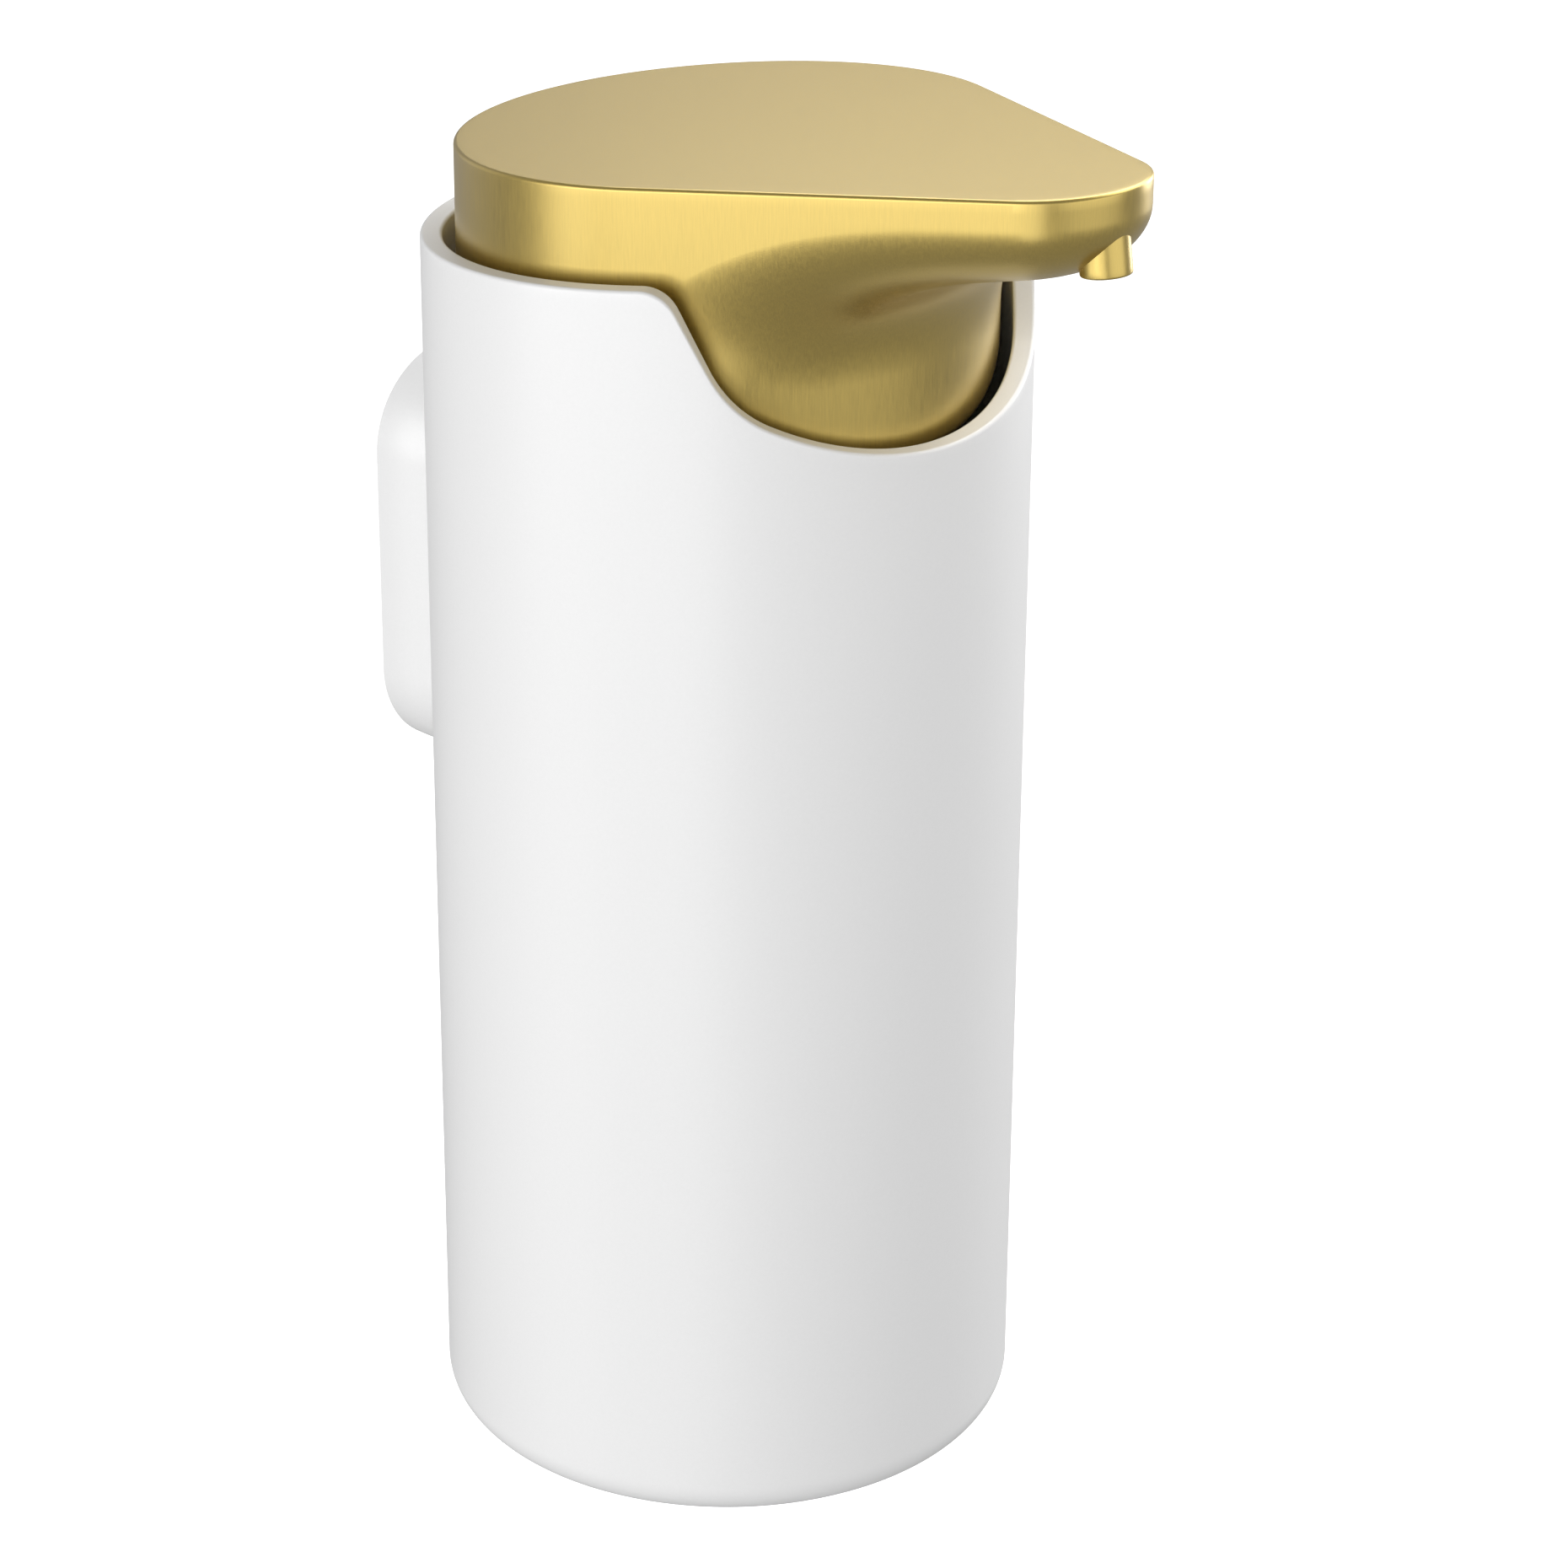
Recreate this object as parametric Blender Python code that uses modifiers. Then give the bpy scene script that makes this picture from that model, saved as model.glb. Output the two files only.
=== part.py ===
"""Wall mounted soap dispenser: a cup on a wall bracket, a lift-out bottle, and a spring pump under a spouted head.

Metres, +Z up. The origin is the centre of the wall plate's back face, the wall lies at +Y and the spout points to -Y.
Pieces are modelled in the cup's own frame, whose origin is on the cup's axis at its underside.
"""

import math

import bmesh
import bpy
from mathutils import Vector

MM = 0.001
GAP = 0.3 * MM  # between pieces that rest on each other
FIT = 0.4 * MM  # all round a piece that sits in a pocket or bore
SLIDE = 0.25 * MM  # round a piece that slides in a bore

# Cup
CUP_RADIUS = 35.0 * MM
CUP_WALL = 2.55 * MM
CUP_FLOOR = 3.0 * MM
CUP_FOOT_ROUND = 4.5 * MM
CUP_INNER_ROUND = 2.0 * MM
CUP_RIM_ROUND = 0.4 * MM
CUP_HEIGHT = 152.5 * MM  # on the axis, where the sloping rim crosses it
CUP_INSIDE = CUP_RADIUS - CUP_WALL
RIM_SLOPE = 0.087  # rise of the rim and of the head's top towards the spout

# Dip in the rim under the spout, as arc lengths and heights on the cup's outside
DIP_FLOOR = CUP_HEIGHT - 18.9 * MM
DIP_FLOOR_RADIUS = 56.0 * MM
DIP_FLOOR_ANGLE = math.radians(24)
DIP_CORNER_RADIUS = 14.5 * MM
DIP_FLANK_ANGLE = math.radians(62)
DIP_SHOULDER_RADIUS = 5.0 * MM

# Head
HEAD_CLEARANCE = 1.45 * MM  # between the skirt and the cup's inside
HEAD_RADIUS = CUP_INSIDE - HEAD_CLEARANCE
HEAD_RISE = 10.4 * MM  # top above the cup's rim, on the axis
HEAD_TOP = CUP_HEIGHT + HEAD_RISE
SPOUT_CENTRE = 47.2 * MM  # axis to the centre of the round tip
SPOUT_TIP_RADIUS = 11.5 * MM
SPOUT_TIP_THICKNESS = 9.5 * MM
SPOUT_THICKENING = 0.1  # extra thickness for each unit of length back from the tip
HEAD_EDGE_DEPTH = 3.5 * MM  # straight side wall under the top edge
HEAD_EDGE_LAST = 0.9  # share of the side wall where its last ring stands
SPOUT_ROUND = 8.0 * MM  # how far in the underside's rounding reaches
SPOUT_FILLET = 7.0 * MM  # between the underside and the skirt
SKIRT_BELOW_RIM = 1.5 * MM
SKIRT_BACK = CUP_HEIGHT - 11.5 * MM  # highest that the skirt's edge rises, round the back
SKIRT_ROUND = 2.0 * MM
SKIRT_WALL = 2.1 * MM
HEAD_CEILING = 2.5 * MM

# Spout bore and nozzle
DUCT_WIDTH = 9.0 * MM
DUCT_HEIGHT = 6.0 * MM
DUCT_END_WALL = 4.5 * MM
DUCT_RISE = 0.4 * MM  # of its floor, towards the tip
NOZZLE_RADIUS = 2.85 * MM
NOZZLE_BORE = 1.7 * MM
NOZZLE_LENGTH = 4.6 * MM
NOZZLE_REACH = SPOUT_CENTRE + 9.0 * MM  # axis to the centre of the nozzle's lower end
NOZZLE_DEPTH = 9.69 * MM  # nozzle's lower end under the head's top
NOZZLE_END = HEAD_TOP + RIM_SLOPE * NOZZLE_REACH - NOZZLE_DEPTH
NOZZLE_TILT = math.radians(8)
CHANNEL_RADIUS = 2.0 * MM
CHANNEL_BORE = 1.2 * MM
CHANNEL_DEPTH = 3.2 * MM  # centre line under the ceiling
GROMMET_RADIUS = 2.3 * MM
GROMMET_LENGTH = 3.2 * MM
NOZZLE_TOP_WALL = 0.7 * MM
NOZZLE_INLET = 1.0 * MM

# Core that carries the head on the stem
CORE_MARGIN = 1.9 * MM  # between the core and the skirt's inside
CORE_RADIUS = HEAD_RADIUS - SKIRT_WALL - CORE_MARGIN
CORE_THICKNESS = 2.4 * MM
CORE_BOSS_RADIUS = 6.0 * MM
CORE_BOSS_DEPTH = 15.0 * MM
CORE_SCREW_COUNT = 3
CORE_SCREW_MARGIN = 7.0 * MM  # from the core's edge to the screws' centres
CORE_SCREW_CIRCLE = CORE_RADIUS - CORE_SCREW_MARGIN
CORE_SCREW_RADIUS = 1.3 * MM
CORE_SCREW_HEAD = 2.6 * MM
CORE_SCREW_HEAD_HEIGHT = 1.6 * MM
CORE_SCREW_LENGTH = 6.0 * MM
CORE_POST_RADIUS = 3.0 * MM
CORE_HUB_HEIGHT = 4.3 * MM
CORE_HEADROOM = 2.6 * MM  # under the ceiling's lowest point

# Bottle
BOTTLE_CLEARANCE = 3.45 * MM  # between the bottle and the cup's inside
BOTTLE_RADIUS = CUP_INSIDE - BOTTLE_CLEARANCE
BOTTLE_WALL = 1.4 * MM
BOTTLE_CORNER = 3.0 * MM
BOTTLE_SHOULDER_RISE = 7.0 * MM
NECK_RADIUS = 12.0 * MM
NECK_LENGTH = 10.0 * MM
NECK_BELOW_RIM = 31.5 * MM
NECK_TOP = CUP_HEIGHT - NECK_BELOW_RIM
NECK_BEAD = 0.6 * MM
NECK_BEAD_DROP = 5.0 * MM
BOTTLE_SHOULDER = NECK_TOP - NECK_LENGTH - BOTTLE_SHOULDER_RISE
BOTTLE_PAD_THICKNESS = 1.5 * MM
BOTTLE_PAD_MARGIN = 3.0 * MM
BOTTLE_PAD_RADIUS = BOTTLE_RADIUS - BOTTLE_PAD_MARGIN

# Closure and pump
COLLAR_WALL = 1.8 * MM
COLLAR_HEIGHT = 10.0 * MM
COLLAR_EDGE = 0.6 * MM
COLLAR_RIBS = 16
COLLAR_RIB_RADIUS = 0.5 * MM
COLLAR_RIB_DROP = 1.4 * MM  # ribs' ends under the collar's top
GASKET_THICKNESS = 1.2 * MM
GASKET_INSET = 0.2 * MM
HOUSING_FLANGE = 1.6 * MM
HOUSING_RADIUS = 8.0 * MM
HOUSING_WALL = 1.2 * MM
HOUSING_LENGTH = 48.0 * MM
HOUSING_TAPER = 1.5 * MM
INLET_LENGTH = 12.0 * MM
CAP_OVERHANG = 2.4 * MM
CAP_EDGE = 0.5 * MM
CAP_THICKNESS = 2.0 * MM
CAP_SLEEVE = 4.0 * MM
STEM_RADIUS = 3.2 * MM
STEM_BORE = 1.8 * MM
STEM_SOCKET_DEPTH = 9.0 * MM
PISTON_HEIGHT = 7.0 * MM
PISTON_STEP = 1.5 * MM  # shoulder that the stem stands on
PISTON_PRESS = 0.02 * MM
SEAL_WIRE = 0.9 * MM
SEAL_GROOVE_DEPTH = 1.6  # times the seal's wire
SEAL_GROOVE_HALF = 1.4
SEAL_ROUND = 0.7
SEAL_TOUCH = 0.12 * MM  # from the barrel's wall
BALL_RADIUS = 2.0 * MM
BALL_LIFT = 1.5 * MM
BALL_SEAT_BORE = 1.5 * MM
CAGE_THICKNESS = 1.6 * MM
CAGE_BORE = 1.3 * MM
SPRING_WIRE = 0.45 * MM
SPRING_RADIUS = 4.6 * MM
SPRING_TURNS = 5
SPRING_POINTS_PER_TURN = 12
DIP_TUBE_RADIUS = 3.0 * MM
DIP_TUBE_BORE = 2.1 * MM
DIP_TUBE_SOCKET = 8.0 * MM
DIP_TUBE_CLEARANCE = 3.0 * MM  # above the bottle's floor
DIP_TUBE_SLANT = math.radians(35)

# Bracket and wall plate
WALL_REACH = CUP_RADIUS + 10.0 * MM  # cup's axis to the wall
BRACKET_WIDTH = 30.0 * MM
BRACKET_LENGTH = 52.0 * MM
BRACKET_CENTRE = CUP_HEIGHT - 51.5 * MM
PLATE_HEIGHT = BRACKET_CENTRE + 3.0 * MM  # wall plate's centre above the cup's underside
BRACKET_CORNER = 12.0 * MM
BRACKET_ROUND = 5.0 * MM
BRACKET_DEPTH = 11.0 * MM
PLATE_WIDTH = 20.0 * MM
PLATE_LENGTH = 34.0 * MM
PLATE_THICKNESS = 3.6 * MM
PLATE_CORNER = 3.0 * MM
HOOK_SLOPE = math.radians(40)  # undercut of the plate's top edge, which the cup hangs on
HOOK_OPENING = 10.0 * MM
LIFT_OFF = 6.0 * MM
WALL_SCREW_SPACING = 20.0 * MM
WALL_SCREW_HOLE = 2.2 * MM
WALL_SCREW_SINK = 4.2 * MM
CUP_SCREW_SPACING = 26.0 * MM
CUP_SCREW_RADIUS = 2.0 * MM
CUP_SCREW_HEAD = 3.6 * MM
CUP_SCREW_HEAD_HEIGHT = 1.6 * MM
CUP_SCREW_LENGTH = 6.8 * MM
LOCK_SCREW_RADIUS = 2.0 * MM
LOCK_SCREW_LENGTH = 4.4 * MM
LOCK_SCREW_SOCKET = 1.0 * MM
SCREW_CROWN = 0.7  # share of a screw head's radius that is flat
SCREW_SHOULDER = 0.5  # share of its height that is upright
SCREW_SOCKET = 0.4  # share of its radius that the socket takes
SCREW_SOCKET_DEPTH = 0.65  # share of its height

ROUND_STEPS = 32
RIM_STEPS = 96
FINE_MERGE = 0.00001


# ---------------------------------------------------------------- scene and helpers

def clear_scene():
    for obj in list(bpy.data.objects):
        bpy.data.objects.remove(obj, do_unlink=True)


def new_collection(name):
    collection = bpy.data.collections.new(name)
    bpy.context.scene.collection.children.link(collection)
    return collection


def make_material(name, colour, roughness, metallic=0.0):
    material = bpy.data.materials.new(name)
    material.use_nodes = True
    shader = material.node_tree.nodes["Principled BSDF"]
    shader.inputs["Base Color"].default_value = (*colour, 1.0)
    shader.inputs["Roughness"].default_value = roughness
    shader.inputs["Metallic"].default_value = metallic
    return material


def add_object(name, data, collection, parent, material=None, location=(0, 0, 0)):
    obj = bpy.data.objects.new(name, data)
    collection.objects.link(obj)
    obj.parent = parent
    obj.location = location
    if material:
        data.materials.append(material)
    return obj


def add_empty(name, collection, parent=None, location=(0, 0, 0)):
    empty = bpy.data.objects.new(name, None)
    empty.empty_display_size = 0.01
    collection.objects.link(empty)
    empty.parent = parent
    empty.location = location
    return empty


def as_cutter(obj):
    obj.hide_render = True
    obj.display_type = "WIRE"
    return obj


def shade(obj, angle=35):
    obj.data.shade_smooth()
    obj.data.set_sharp_from_angle(angle=math.radians(angle))


def turned(name, outside, place, material=None, steps=ROUND_STEPS, inside=()):
    """A profile of (radius, height) points, top to bottom down the outside, turned about Z.

    A vessel's outside ends on the axis, and its inside runs from the axis up to the top again."""
    mesh = bpy.data.meshes.new(name)
    points = [*outside, *inside]
    last = len(points) - 1
    edges = [(i, i + 1) for i in range(last) if not inside or i != len(outside) - 1]
    if points[0][0] > 0:
        edges.append((last, 0))
    mesh.from_pydata([(r, 0, z) for r, z in points], edges, [])
    obj = add_object(name, mesh, *place, material)
    screw = obj.modifiers.new("turn", "SCREW")
    screw.steps = steps
    screw.render_steps = steps
    screw.use_merge_vertices = True
    screw.merge_threshold = FINE_MERGE
    return obj


def tube_profile(outer, inner, top, bottom):
    return [(outer, top), (outer, bottom), (inner, bottom), (inner, top)]


def solid_mesh(obj):
    """Swaps an object's modifiers or curve for the mesh that they give, with its seams welded."""
    bpy.context.view_layer.update()
    evaluated = obj.evaluated_get(bpy.context.evaluated_depsgraph_get())
    mesh = bpy.data.meshes.new_from_object(evaluated)
    work = bmesh.new()
    work.from_mesh(mesh)
    bmesh.ops.remove_doubles(work, verts=work.verts, dist=FINE_MERGE)
    bmesh.ops.recalc_face_normals(work, faces=work.faces)
    work.to_mesh(mesh)
    work.free()
    name, collection, parent = obj.name, obj.users_collection[0], obj.parent
    place = obj.matrix_basis.copy()
    bpy.data.objects.remove(obj, do_unlink=True)
    mesh.name = name
    solid = bpy.data.objects.new(name, mesh)
    collection.objects.link(solid)
    solid.parent = parent
    solid.matrix_basis = place
    return solid


def combine(obj, other, operation):
    modifier = obj.modifiers.new(operation.lower(), "BOOLEAN")
    modifier.operation = operation
    modifier.solver = "EXACT"
    modifier.object = other


def cut(obj, cutter):
    combine(obj, cutter, "DIFFERENCE")


def join(obj, piece):
    combine(obj, piece, "UNION")


def cylinder(name, place, radius, start, end, material=None, steps=32, end_radius=None):
    """A cylinder or cone between two points of the cup's frame."""
    start, end = Vector(start), Vector(end)
    run = end - start
    mesh = bpy.data.meshes.new(name)
    work = bmesh.new()
    bmesh.ops.create_cone(
        work, cap_ends=True, segments=steps, radius1=radius,
        radius2=radius if end_radius is None else end_radius, depth=run.length,
    )
    work.to_mesh(mesh)
    work.free()
    obj = add_object(name, mesh, *place, material, location=(start + end) / 2)
    obj.rotation_mode = "QUATERNION"
    obj.rotation_quaternion = Vector((0, 0, 1)).rotation_difference(run)
    return obj


def block(name, place, low, high, material=None):
    """A box between two corners of the cup's frame."""
    low, high = Vector(low), Vector(high)
    mesh = bpy.data.meshes.new(name)
    work = bmesh.new()
    bmesh.ops.create_cube(work, size=1.0)
    bmesh.ops.scale(work, vec=high - low, verts=work.verts)
    work.to_mesh(mesh)
    work.free()
    return add_object(name, mesh, *place, material, location=(low + high) / 2)


def rounded_slab(name, place, width, length, corner, front, back, centre_z, material=None, steps=6):
    """A slab with round corners in X and Z, from front to back along Y."""
    curve = bpy.data.curves.new(name, "CURVE")
    curve.dimensions = "2D"
    curve.fill_mode = "BOTH"
    curve.extrude = (back - front) / 2
    spline = curve.splines.new("POLY")
    points = []
    for corner_x, corner_z, turn in ((1, 1, 0), (-1, 1, 90), (-1, -1, 180), (1, -1, 270)):
        middle_x = corner_x * (width / 2 - corner)
        middle_z = corner_z * (length / 2 - corner)
        for step in range(steps + 1):
            angle = math.radians(turn + 90 * step / steps)
            points.append((middle_x + corner * math.cos(angle), middle_z + corner * math.sin(angle)))
    spline.points.add(len(points) - 1)
    for point, (x, z) in zip(spline.points, points):
        point.co = (x, z, 0, 1)
    spline.use_cyclic_u = True
    obj = add_object(name, curve, *place, material, location=(0, (front + back) / 2, centre_z))
    obj.rotation_euler = (math.radians(90), 0, 0)
    return solid_mesh(obj)


# ---------------------------------------------------------------- shared geometry

BOTTLE_FOOT = CUP_FLOOR + GAP + BOTTLE_PAD_THICKNESS + GAP
GASKET_BASE = NECK_TOP + GAP
FLANGE_BASE = GASKET_BASE + GASKET_THICKNESS + GAP
FLANGE_TOP = FLANGE_BASE + HOUSING_FLANGE
HOUSING_FOOT = FLANGE_TOP - HOUSING_LENGTH
HOUSING_BORE = HOUSING_RADIUS - HOUSING_WALL
COLLAR_TOP = FLANGE_TOP + GAP + COLLAR_WALL
CAP_BASE = COLLAR_TOP + GAP
PISTON_TOP = FLANGE_TOP - CAP_SLEEVE - GAP
PISTON_BASE = PISTON_TOP - PISTON_HEIGHT
CHAMBER_FLOOR = HOUSING_FOOT + HOUSING_WALL
BALL_SEAT_DROP = math.sqrt(BALL_RADIUS ** 2 - BALL_SEAT_BORE ** 2)
BALL_CENTRE = CHAMBER_FLOOR + BALL_SEAT_DROP + SLIDE
CAGE_BASE = BALL_CENTRE + BALL_RADIUS + BALL_LIFT + SLIDE
CAGE_TOP = CAGE_BASE + CAGE_THICKNESS
INLET_FOOT = HOUSING_FOOT - INLET_LENGTH
DIP_TUBE_TOP = INLET_FOOT + DIP_TUBE_SOCKET
CORE_TOP = HEAD_TOP - RIM_SLOPE * HEAD_RADIUS - HEAD_CEILING - CORE_HEADROOM
STEM_TOP = CORE_TOP - CORE_BOSS_DEPTH + STEM_SOCKET_DEPTH
POCKET_FRONT = WALL_REACH - PLATE_THICKNESS - FIT
PLATE_TOP = PLATE_HEIGHT + PLATE_LENGTH / 2
PLATE_FOOT = PLATE_HEIGHT - PLATE_LENGTH / 2


def rim_plane(radius, angle):
    """Height of the sloping rim, at an angle from the spout's direction."""
    return CUP_HEIGHT + RIM_SLOPE * radius * math.cos(angle)


def dip_height(along, top):
    """Height of the dip's edge at an arc length from its middle: floor arc, corner arc, flank, shoulder arc."""
    along = abs(along)
    floor_end = DIP_FLOOR_RADIUS * math.sin(DIP_FLOOR_ANGLE)
    if along <= floor_end:
        return DIP_FLOOR + DIP_FLOOR_RADIUS - math.sqrt(DIP_FLOOR_RADIUS ** 2 - along ** 2)
    height = DIP_FLOOR + DIP_FLOOR_RADIUS * (1 - math.cos(DIP_FLOOR_ANGLE))
    centre = floor_end - DIP_CORNER_RADIUS * math.sin(DIP_FLOOR_ANGLE)
    corner_end = centre + DIP_CORNER_RADIUS * math.sin(DIP_FLANK_ANGLE)
    level = height + DIP_CORNER_RADIUS * math.cos(DIP_FLOOR_ANGLE)
    if along <= corner_end:
        return level - math.sqrt(DIP_CORNER_RADIUS ** 2 - (along - centre) ** 2)
    height = level - DIP_CORNER_RADIUS * math.cos(DIP_FLANK_ANGLE)
    shoulder_foot = top - DIP_SHOULDER_RADIUS * (1 - math.cos(DIP_FLANK_ANGLE))
    shoulder_start = corner_end + (shoulder_foot - height) / math.tan(DIP_FLANK_ANGLE)
    if along <= shoulder_start:
        return height + (along - corner_end) * math.tan(DIP_FLANK_ANGLE)
    shoulder_end = shoulder_start + DIP_SHOULDER_RADIUS * math.sin(DIP_FLANK_ANGLE)
    if along >= shoulder_end:
        return top
    drop = DIP_SHOULDER_RADIUS - math.sqrt(DIP_SHOULDER_RADIUS ** 2 - (shoulder_end - along) ** 2)
    return top - drop


def rim_height(angle):
    """Height of the cup's rim at an angle from the spout's direction."""
    angle = math.atan2(math.sin(angle), math.cos(angle))
    top = rim_plane(CUP_RADIUS, angle)
    return min(top, dip_height(CUP_RADIUS * angle, top))


def head_plane(forward):
    """Height of the head's top at a distance from the axis towards the spout."""
    return HEAD_TOP + RIM_SLOPE * forward


def inside_outline(x, forward):
    """How far a point lies inside the head's teardrop outline."""
    x = abs(x)
    lean = (HEAD_RADIUS - SPOUT_TIP_RADIUS) / SPOUT_CENTRE
    run = math.sqrt(1 - lean ** 2)
    along = -lean * x + run * forward
    if along < 0:
        distance = math.hypot(x, forward) - HEAD_RADIUS
    elif along > run * SPOUT_CENTRE:
        distance = math.hypot(x, forward - SPOUT_CENTRE) - SPOUT_TIP_RADIUS
    else:
        distance = run * x + lean * forward - HEAD_RADIUS
    return -distance


def underside_depth(x, forward):
    """How far the head's lower surface lies under its top plane, outside the skirt."""
    inside = max(inside_outline(x, forward), 0.0)
    thickness = SPOUT_TIP_THICKNESS + SPOUT_THICKENING * (SPOUT_CENTRE + SPOUT_TIP_RADIUS - forward)
    share = max(1 - inside / SPOUT_ROUND, 0.0)
    depth = HEAD_EDGE_DEPTH + (thickness - HEAD_EDGE_DEPTH) * math.sqrt(max(1 - share ** 2, 0.0))
    outside = max(math.hypot(x, forward) - HEAD_RADIUS, 0.0)
    if outside < SPOUT_FILLET:
        depth += SPOUT_FILLET - math.sqrt(SPOUT_FILLET ** 2 - (SPOUT_FILLET - outside) ** 2)
    return depth


def outline_points(arc_steps=26, side_steps=8, tip_steps=12):
    """The teardrop outline from the back round to the back again, as (x, forward) points."""
    tangent = math.acos((HEAD_RADIUS - SPOUT_TIP_RADIUS) / SPOUT_CENTRE)
    points = []
    for step in range(arc_steps):
        angle = math.pi - (math.pi - tangent) * 2 * step / arc_steps
        if angle <= tangent + 1e-9:
            break
        points.append((HEAD_RADIUS * math.sin(angle), HEAD_RADIUS * math.cos(angle)))
    start = Vector((HEAD_RADIUS * math.sin(tangent), HEAD_RADIUS * math.cos(tangent)))
    end = Vector((SPOUT_TIP_RADIUS * math.sin(tangent), SPOUT_CENTRE + SPOUT_TIP_RADIUS * math.cos(tangent)))
    for step in range(side_steps):
        points.append(tuple(start.lerp(end, step / side_steps)))
    for step in range(tip_steps // 2 + 1):
        angle = tangent * (1 - 2 * step / tip_steps)
        points.append((SPOUT_TIP_RADIUS * math.sin(angle), SPOUT_CENTRE + SPOUT_TIP_RADIUS * math.cos(angle)))
    mirrored = [(-x, forward) for x, forward in reversed(points[1:-1])]
    return points + mirrored


# ---------------------------------------------------------------- wall plate and bracket

def make_wall_plate(place, material):
    """Plate with an undercut top edge, two countersunk holes and a flat back."""
    front = WALL_REACH - PLATE_THICKNESS
    plate = rounded_slab(
        "wall_plate", place[:2], PLATE_WIDTH, PLATE_LENGTH, PLATE_CORNER,
        front, WALL_REACH, PLATE_HEIGHT, material, steps=4,
    )
    for side in (-1, 1):
        z = PLATE_HEIGHT + side * WALL_SCREW_SPACING / 2
        hole = cylinder(f"wall_hole_{side}", place[2:], WALL_SCREW_HOLE, (0, front - MM, z),
                        (0, WALL_REACH + MM, z), steps=24)
        sink = cylinder(f"wall_sink_{side}", place[2:], WALL_SCREW_SINK + MM, (0, front - MM, z),
                        (0, front + WALL_SCREW_SINK - WALL_SCREW_HOLE, z), steps=24,
                        end_radius=WALL_SCREW_HOLE)
        cut(plate, as_cutter(hole))
        cut(plate, as_cutter(sink))
    cut(plate, as_cutter(hook_wedge("plate_undercut", place[2:], PLATE_TOP)))
    return plate


def hook_wedge(name, place, top):
    """A wedge that slopes down towards the wall, from above the hook's line at the plate's front."""
    depth = PLATE_THICKNESS + 2 * FIT
    slope = math.tan(HOOK_SLOPE)
    half = PLATE_WIDTH
    front, back = WALL_REACH - depth, WALL_REACH + 2 * FIT
    corners = [
        (front, top + slope * (WALL_REACH - PLATE_THICKNESS - front)),
        (back, top - slope * (back - WALL_REACH + PLATE_THICKNESS)),
        (back, top + HOOK_OPENING),
        (front, top + HOOK_OPENING),
    ]
    return prism(name, place, corners, half)


def prism(name, place, corners, half, material=None):
    """A (y, z) outline, drawn out to both sides along X."""
    mesh = bpy.data.meshes.new(name)
    work = bmesh.new()
    outline = [work.verts.new((-half, y, z)) for y, z in corners]
    face = work.faces.new(outline)
    swept = bmesh.ops.extrude_face_region(work, geom=[face])
    moved = [item for item in swept["geom"] if isinstance(item, bmesh.types.BMVert)]
    bmesh.ops.translate(work, vec=(2 * half, 0, 0), verts=moved)
    bmesh.ops.recalc_face_normals(work, faces=work.faces)
    work.to_mesh(mesh)
    work.free()
    return add_object(name, mesh, *place, material)


def make_bracket(place, material):
    """Pillow-edged bracket with a saddle for the cup, a pocket over the wall plate and three screw holes."""
    front = WALL_REACH - BRACKET_DEPTH
    bracket = rounded_slab(
        "wall_bracket", place[:2], BRACKET_WIDTH, BRACKET_LENGTH, BRACKET_CORNER,
        front, WALL_REACH, BRACKET_CENTRE, material, steps=6,
    )
    soften_front(bracket, BRACKET_ROUND)
    cutters = place[2:]
    saddle_radius = (CUP_RADIUS + GAP) / math.cos(math.pi / RIM_STEPS)
    saddle = cylinder("saddle", cutters, saddle_radius, (0, 0, BRACKET_CENTRE - BRACKET_LENGTH),
                      (0, 0, BRACKET_CENTRE + BRACKET_LENGTH), steps=RIM_STEPS)
    cut(bracket, as_cutter(saddle))
    half = PLATE_WIDTH / 2 + FIT
    slope = math.tan(HOOK_SLOPE)
    roof = PLATE_TOP + GAP
    back = WALL_REACH + MM
    pocket = prism("plate_pocket", cutters, [
        (POCKET_FRONT, PLATE_FOOT - LIFT_OFF - FIT),
        (back, PLATE_FOOT - LIFT_OFF - FIT),
        (back, roof - slope * (back - WALL_REACH + PLATE_THICKNESS)),
        (POCKET_FRONT, roof + slope * FIT),
    ], half)
    cut(bracket, as_cutter(pocket))
    for side in (-1, 1):
        z = BRACKET_CENTRE + side * CUP_SCREW_SPACING / 2
        hole = cylinder(f"bracket_hole_{side}", cutters, CUP_SCREW_RADIUS + FIT, (0, front - MM, z),
                        (0, WALL_REACH - PLATE_THICKNESS, z), steps=24)
        cut(bracket, as_cutter(hole))
    foot = BRACKET_CENTRE - BRACKET_LENGTH / 2
    lock = cylinder("lock_hole", cutters, LOCK_SCREW_RADIUS + FIT, (0, lock_screw_y(), foot - MM),
                    (0, lock_screw_y(), PLATE_FOOT - LIFT_OFF + MM), steps=24)
    cut(bracket, as_cutter(lock))
    return bracket


def soften_front(slab, radius):
    """Rounds the edge between a slab's front face and its sides."""
    weights = slab.data.attributes.new("bevel_weight_edge", "FLOAT", "EDGE")
    for edge in slab.data.edges:
        first, second = (slab.data.vertices[index].co for index in edge.vertices)
        weights.data[edge.index].value = float(first.z > 0 and second.z > 0)
    bevel = slab.modifiers.new("pillow edge", "BEVEL")
    bevel.width = radius
    bevel.segments = 3
    bevel.limit_method = "WEIGHT"


def lock_screw_y():
    """The lock screw stands in the middle of the wall plate's thickness."""
    return WALL_REACH - PLATE_THICKNESS - MM


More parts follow.
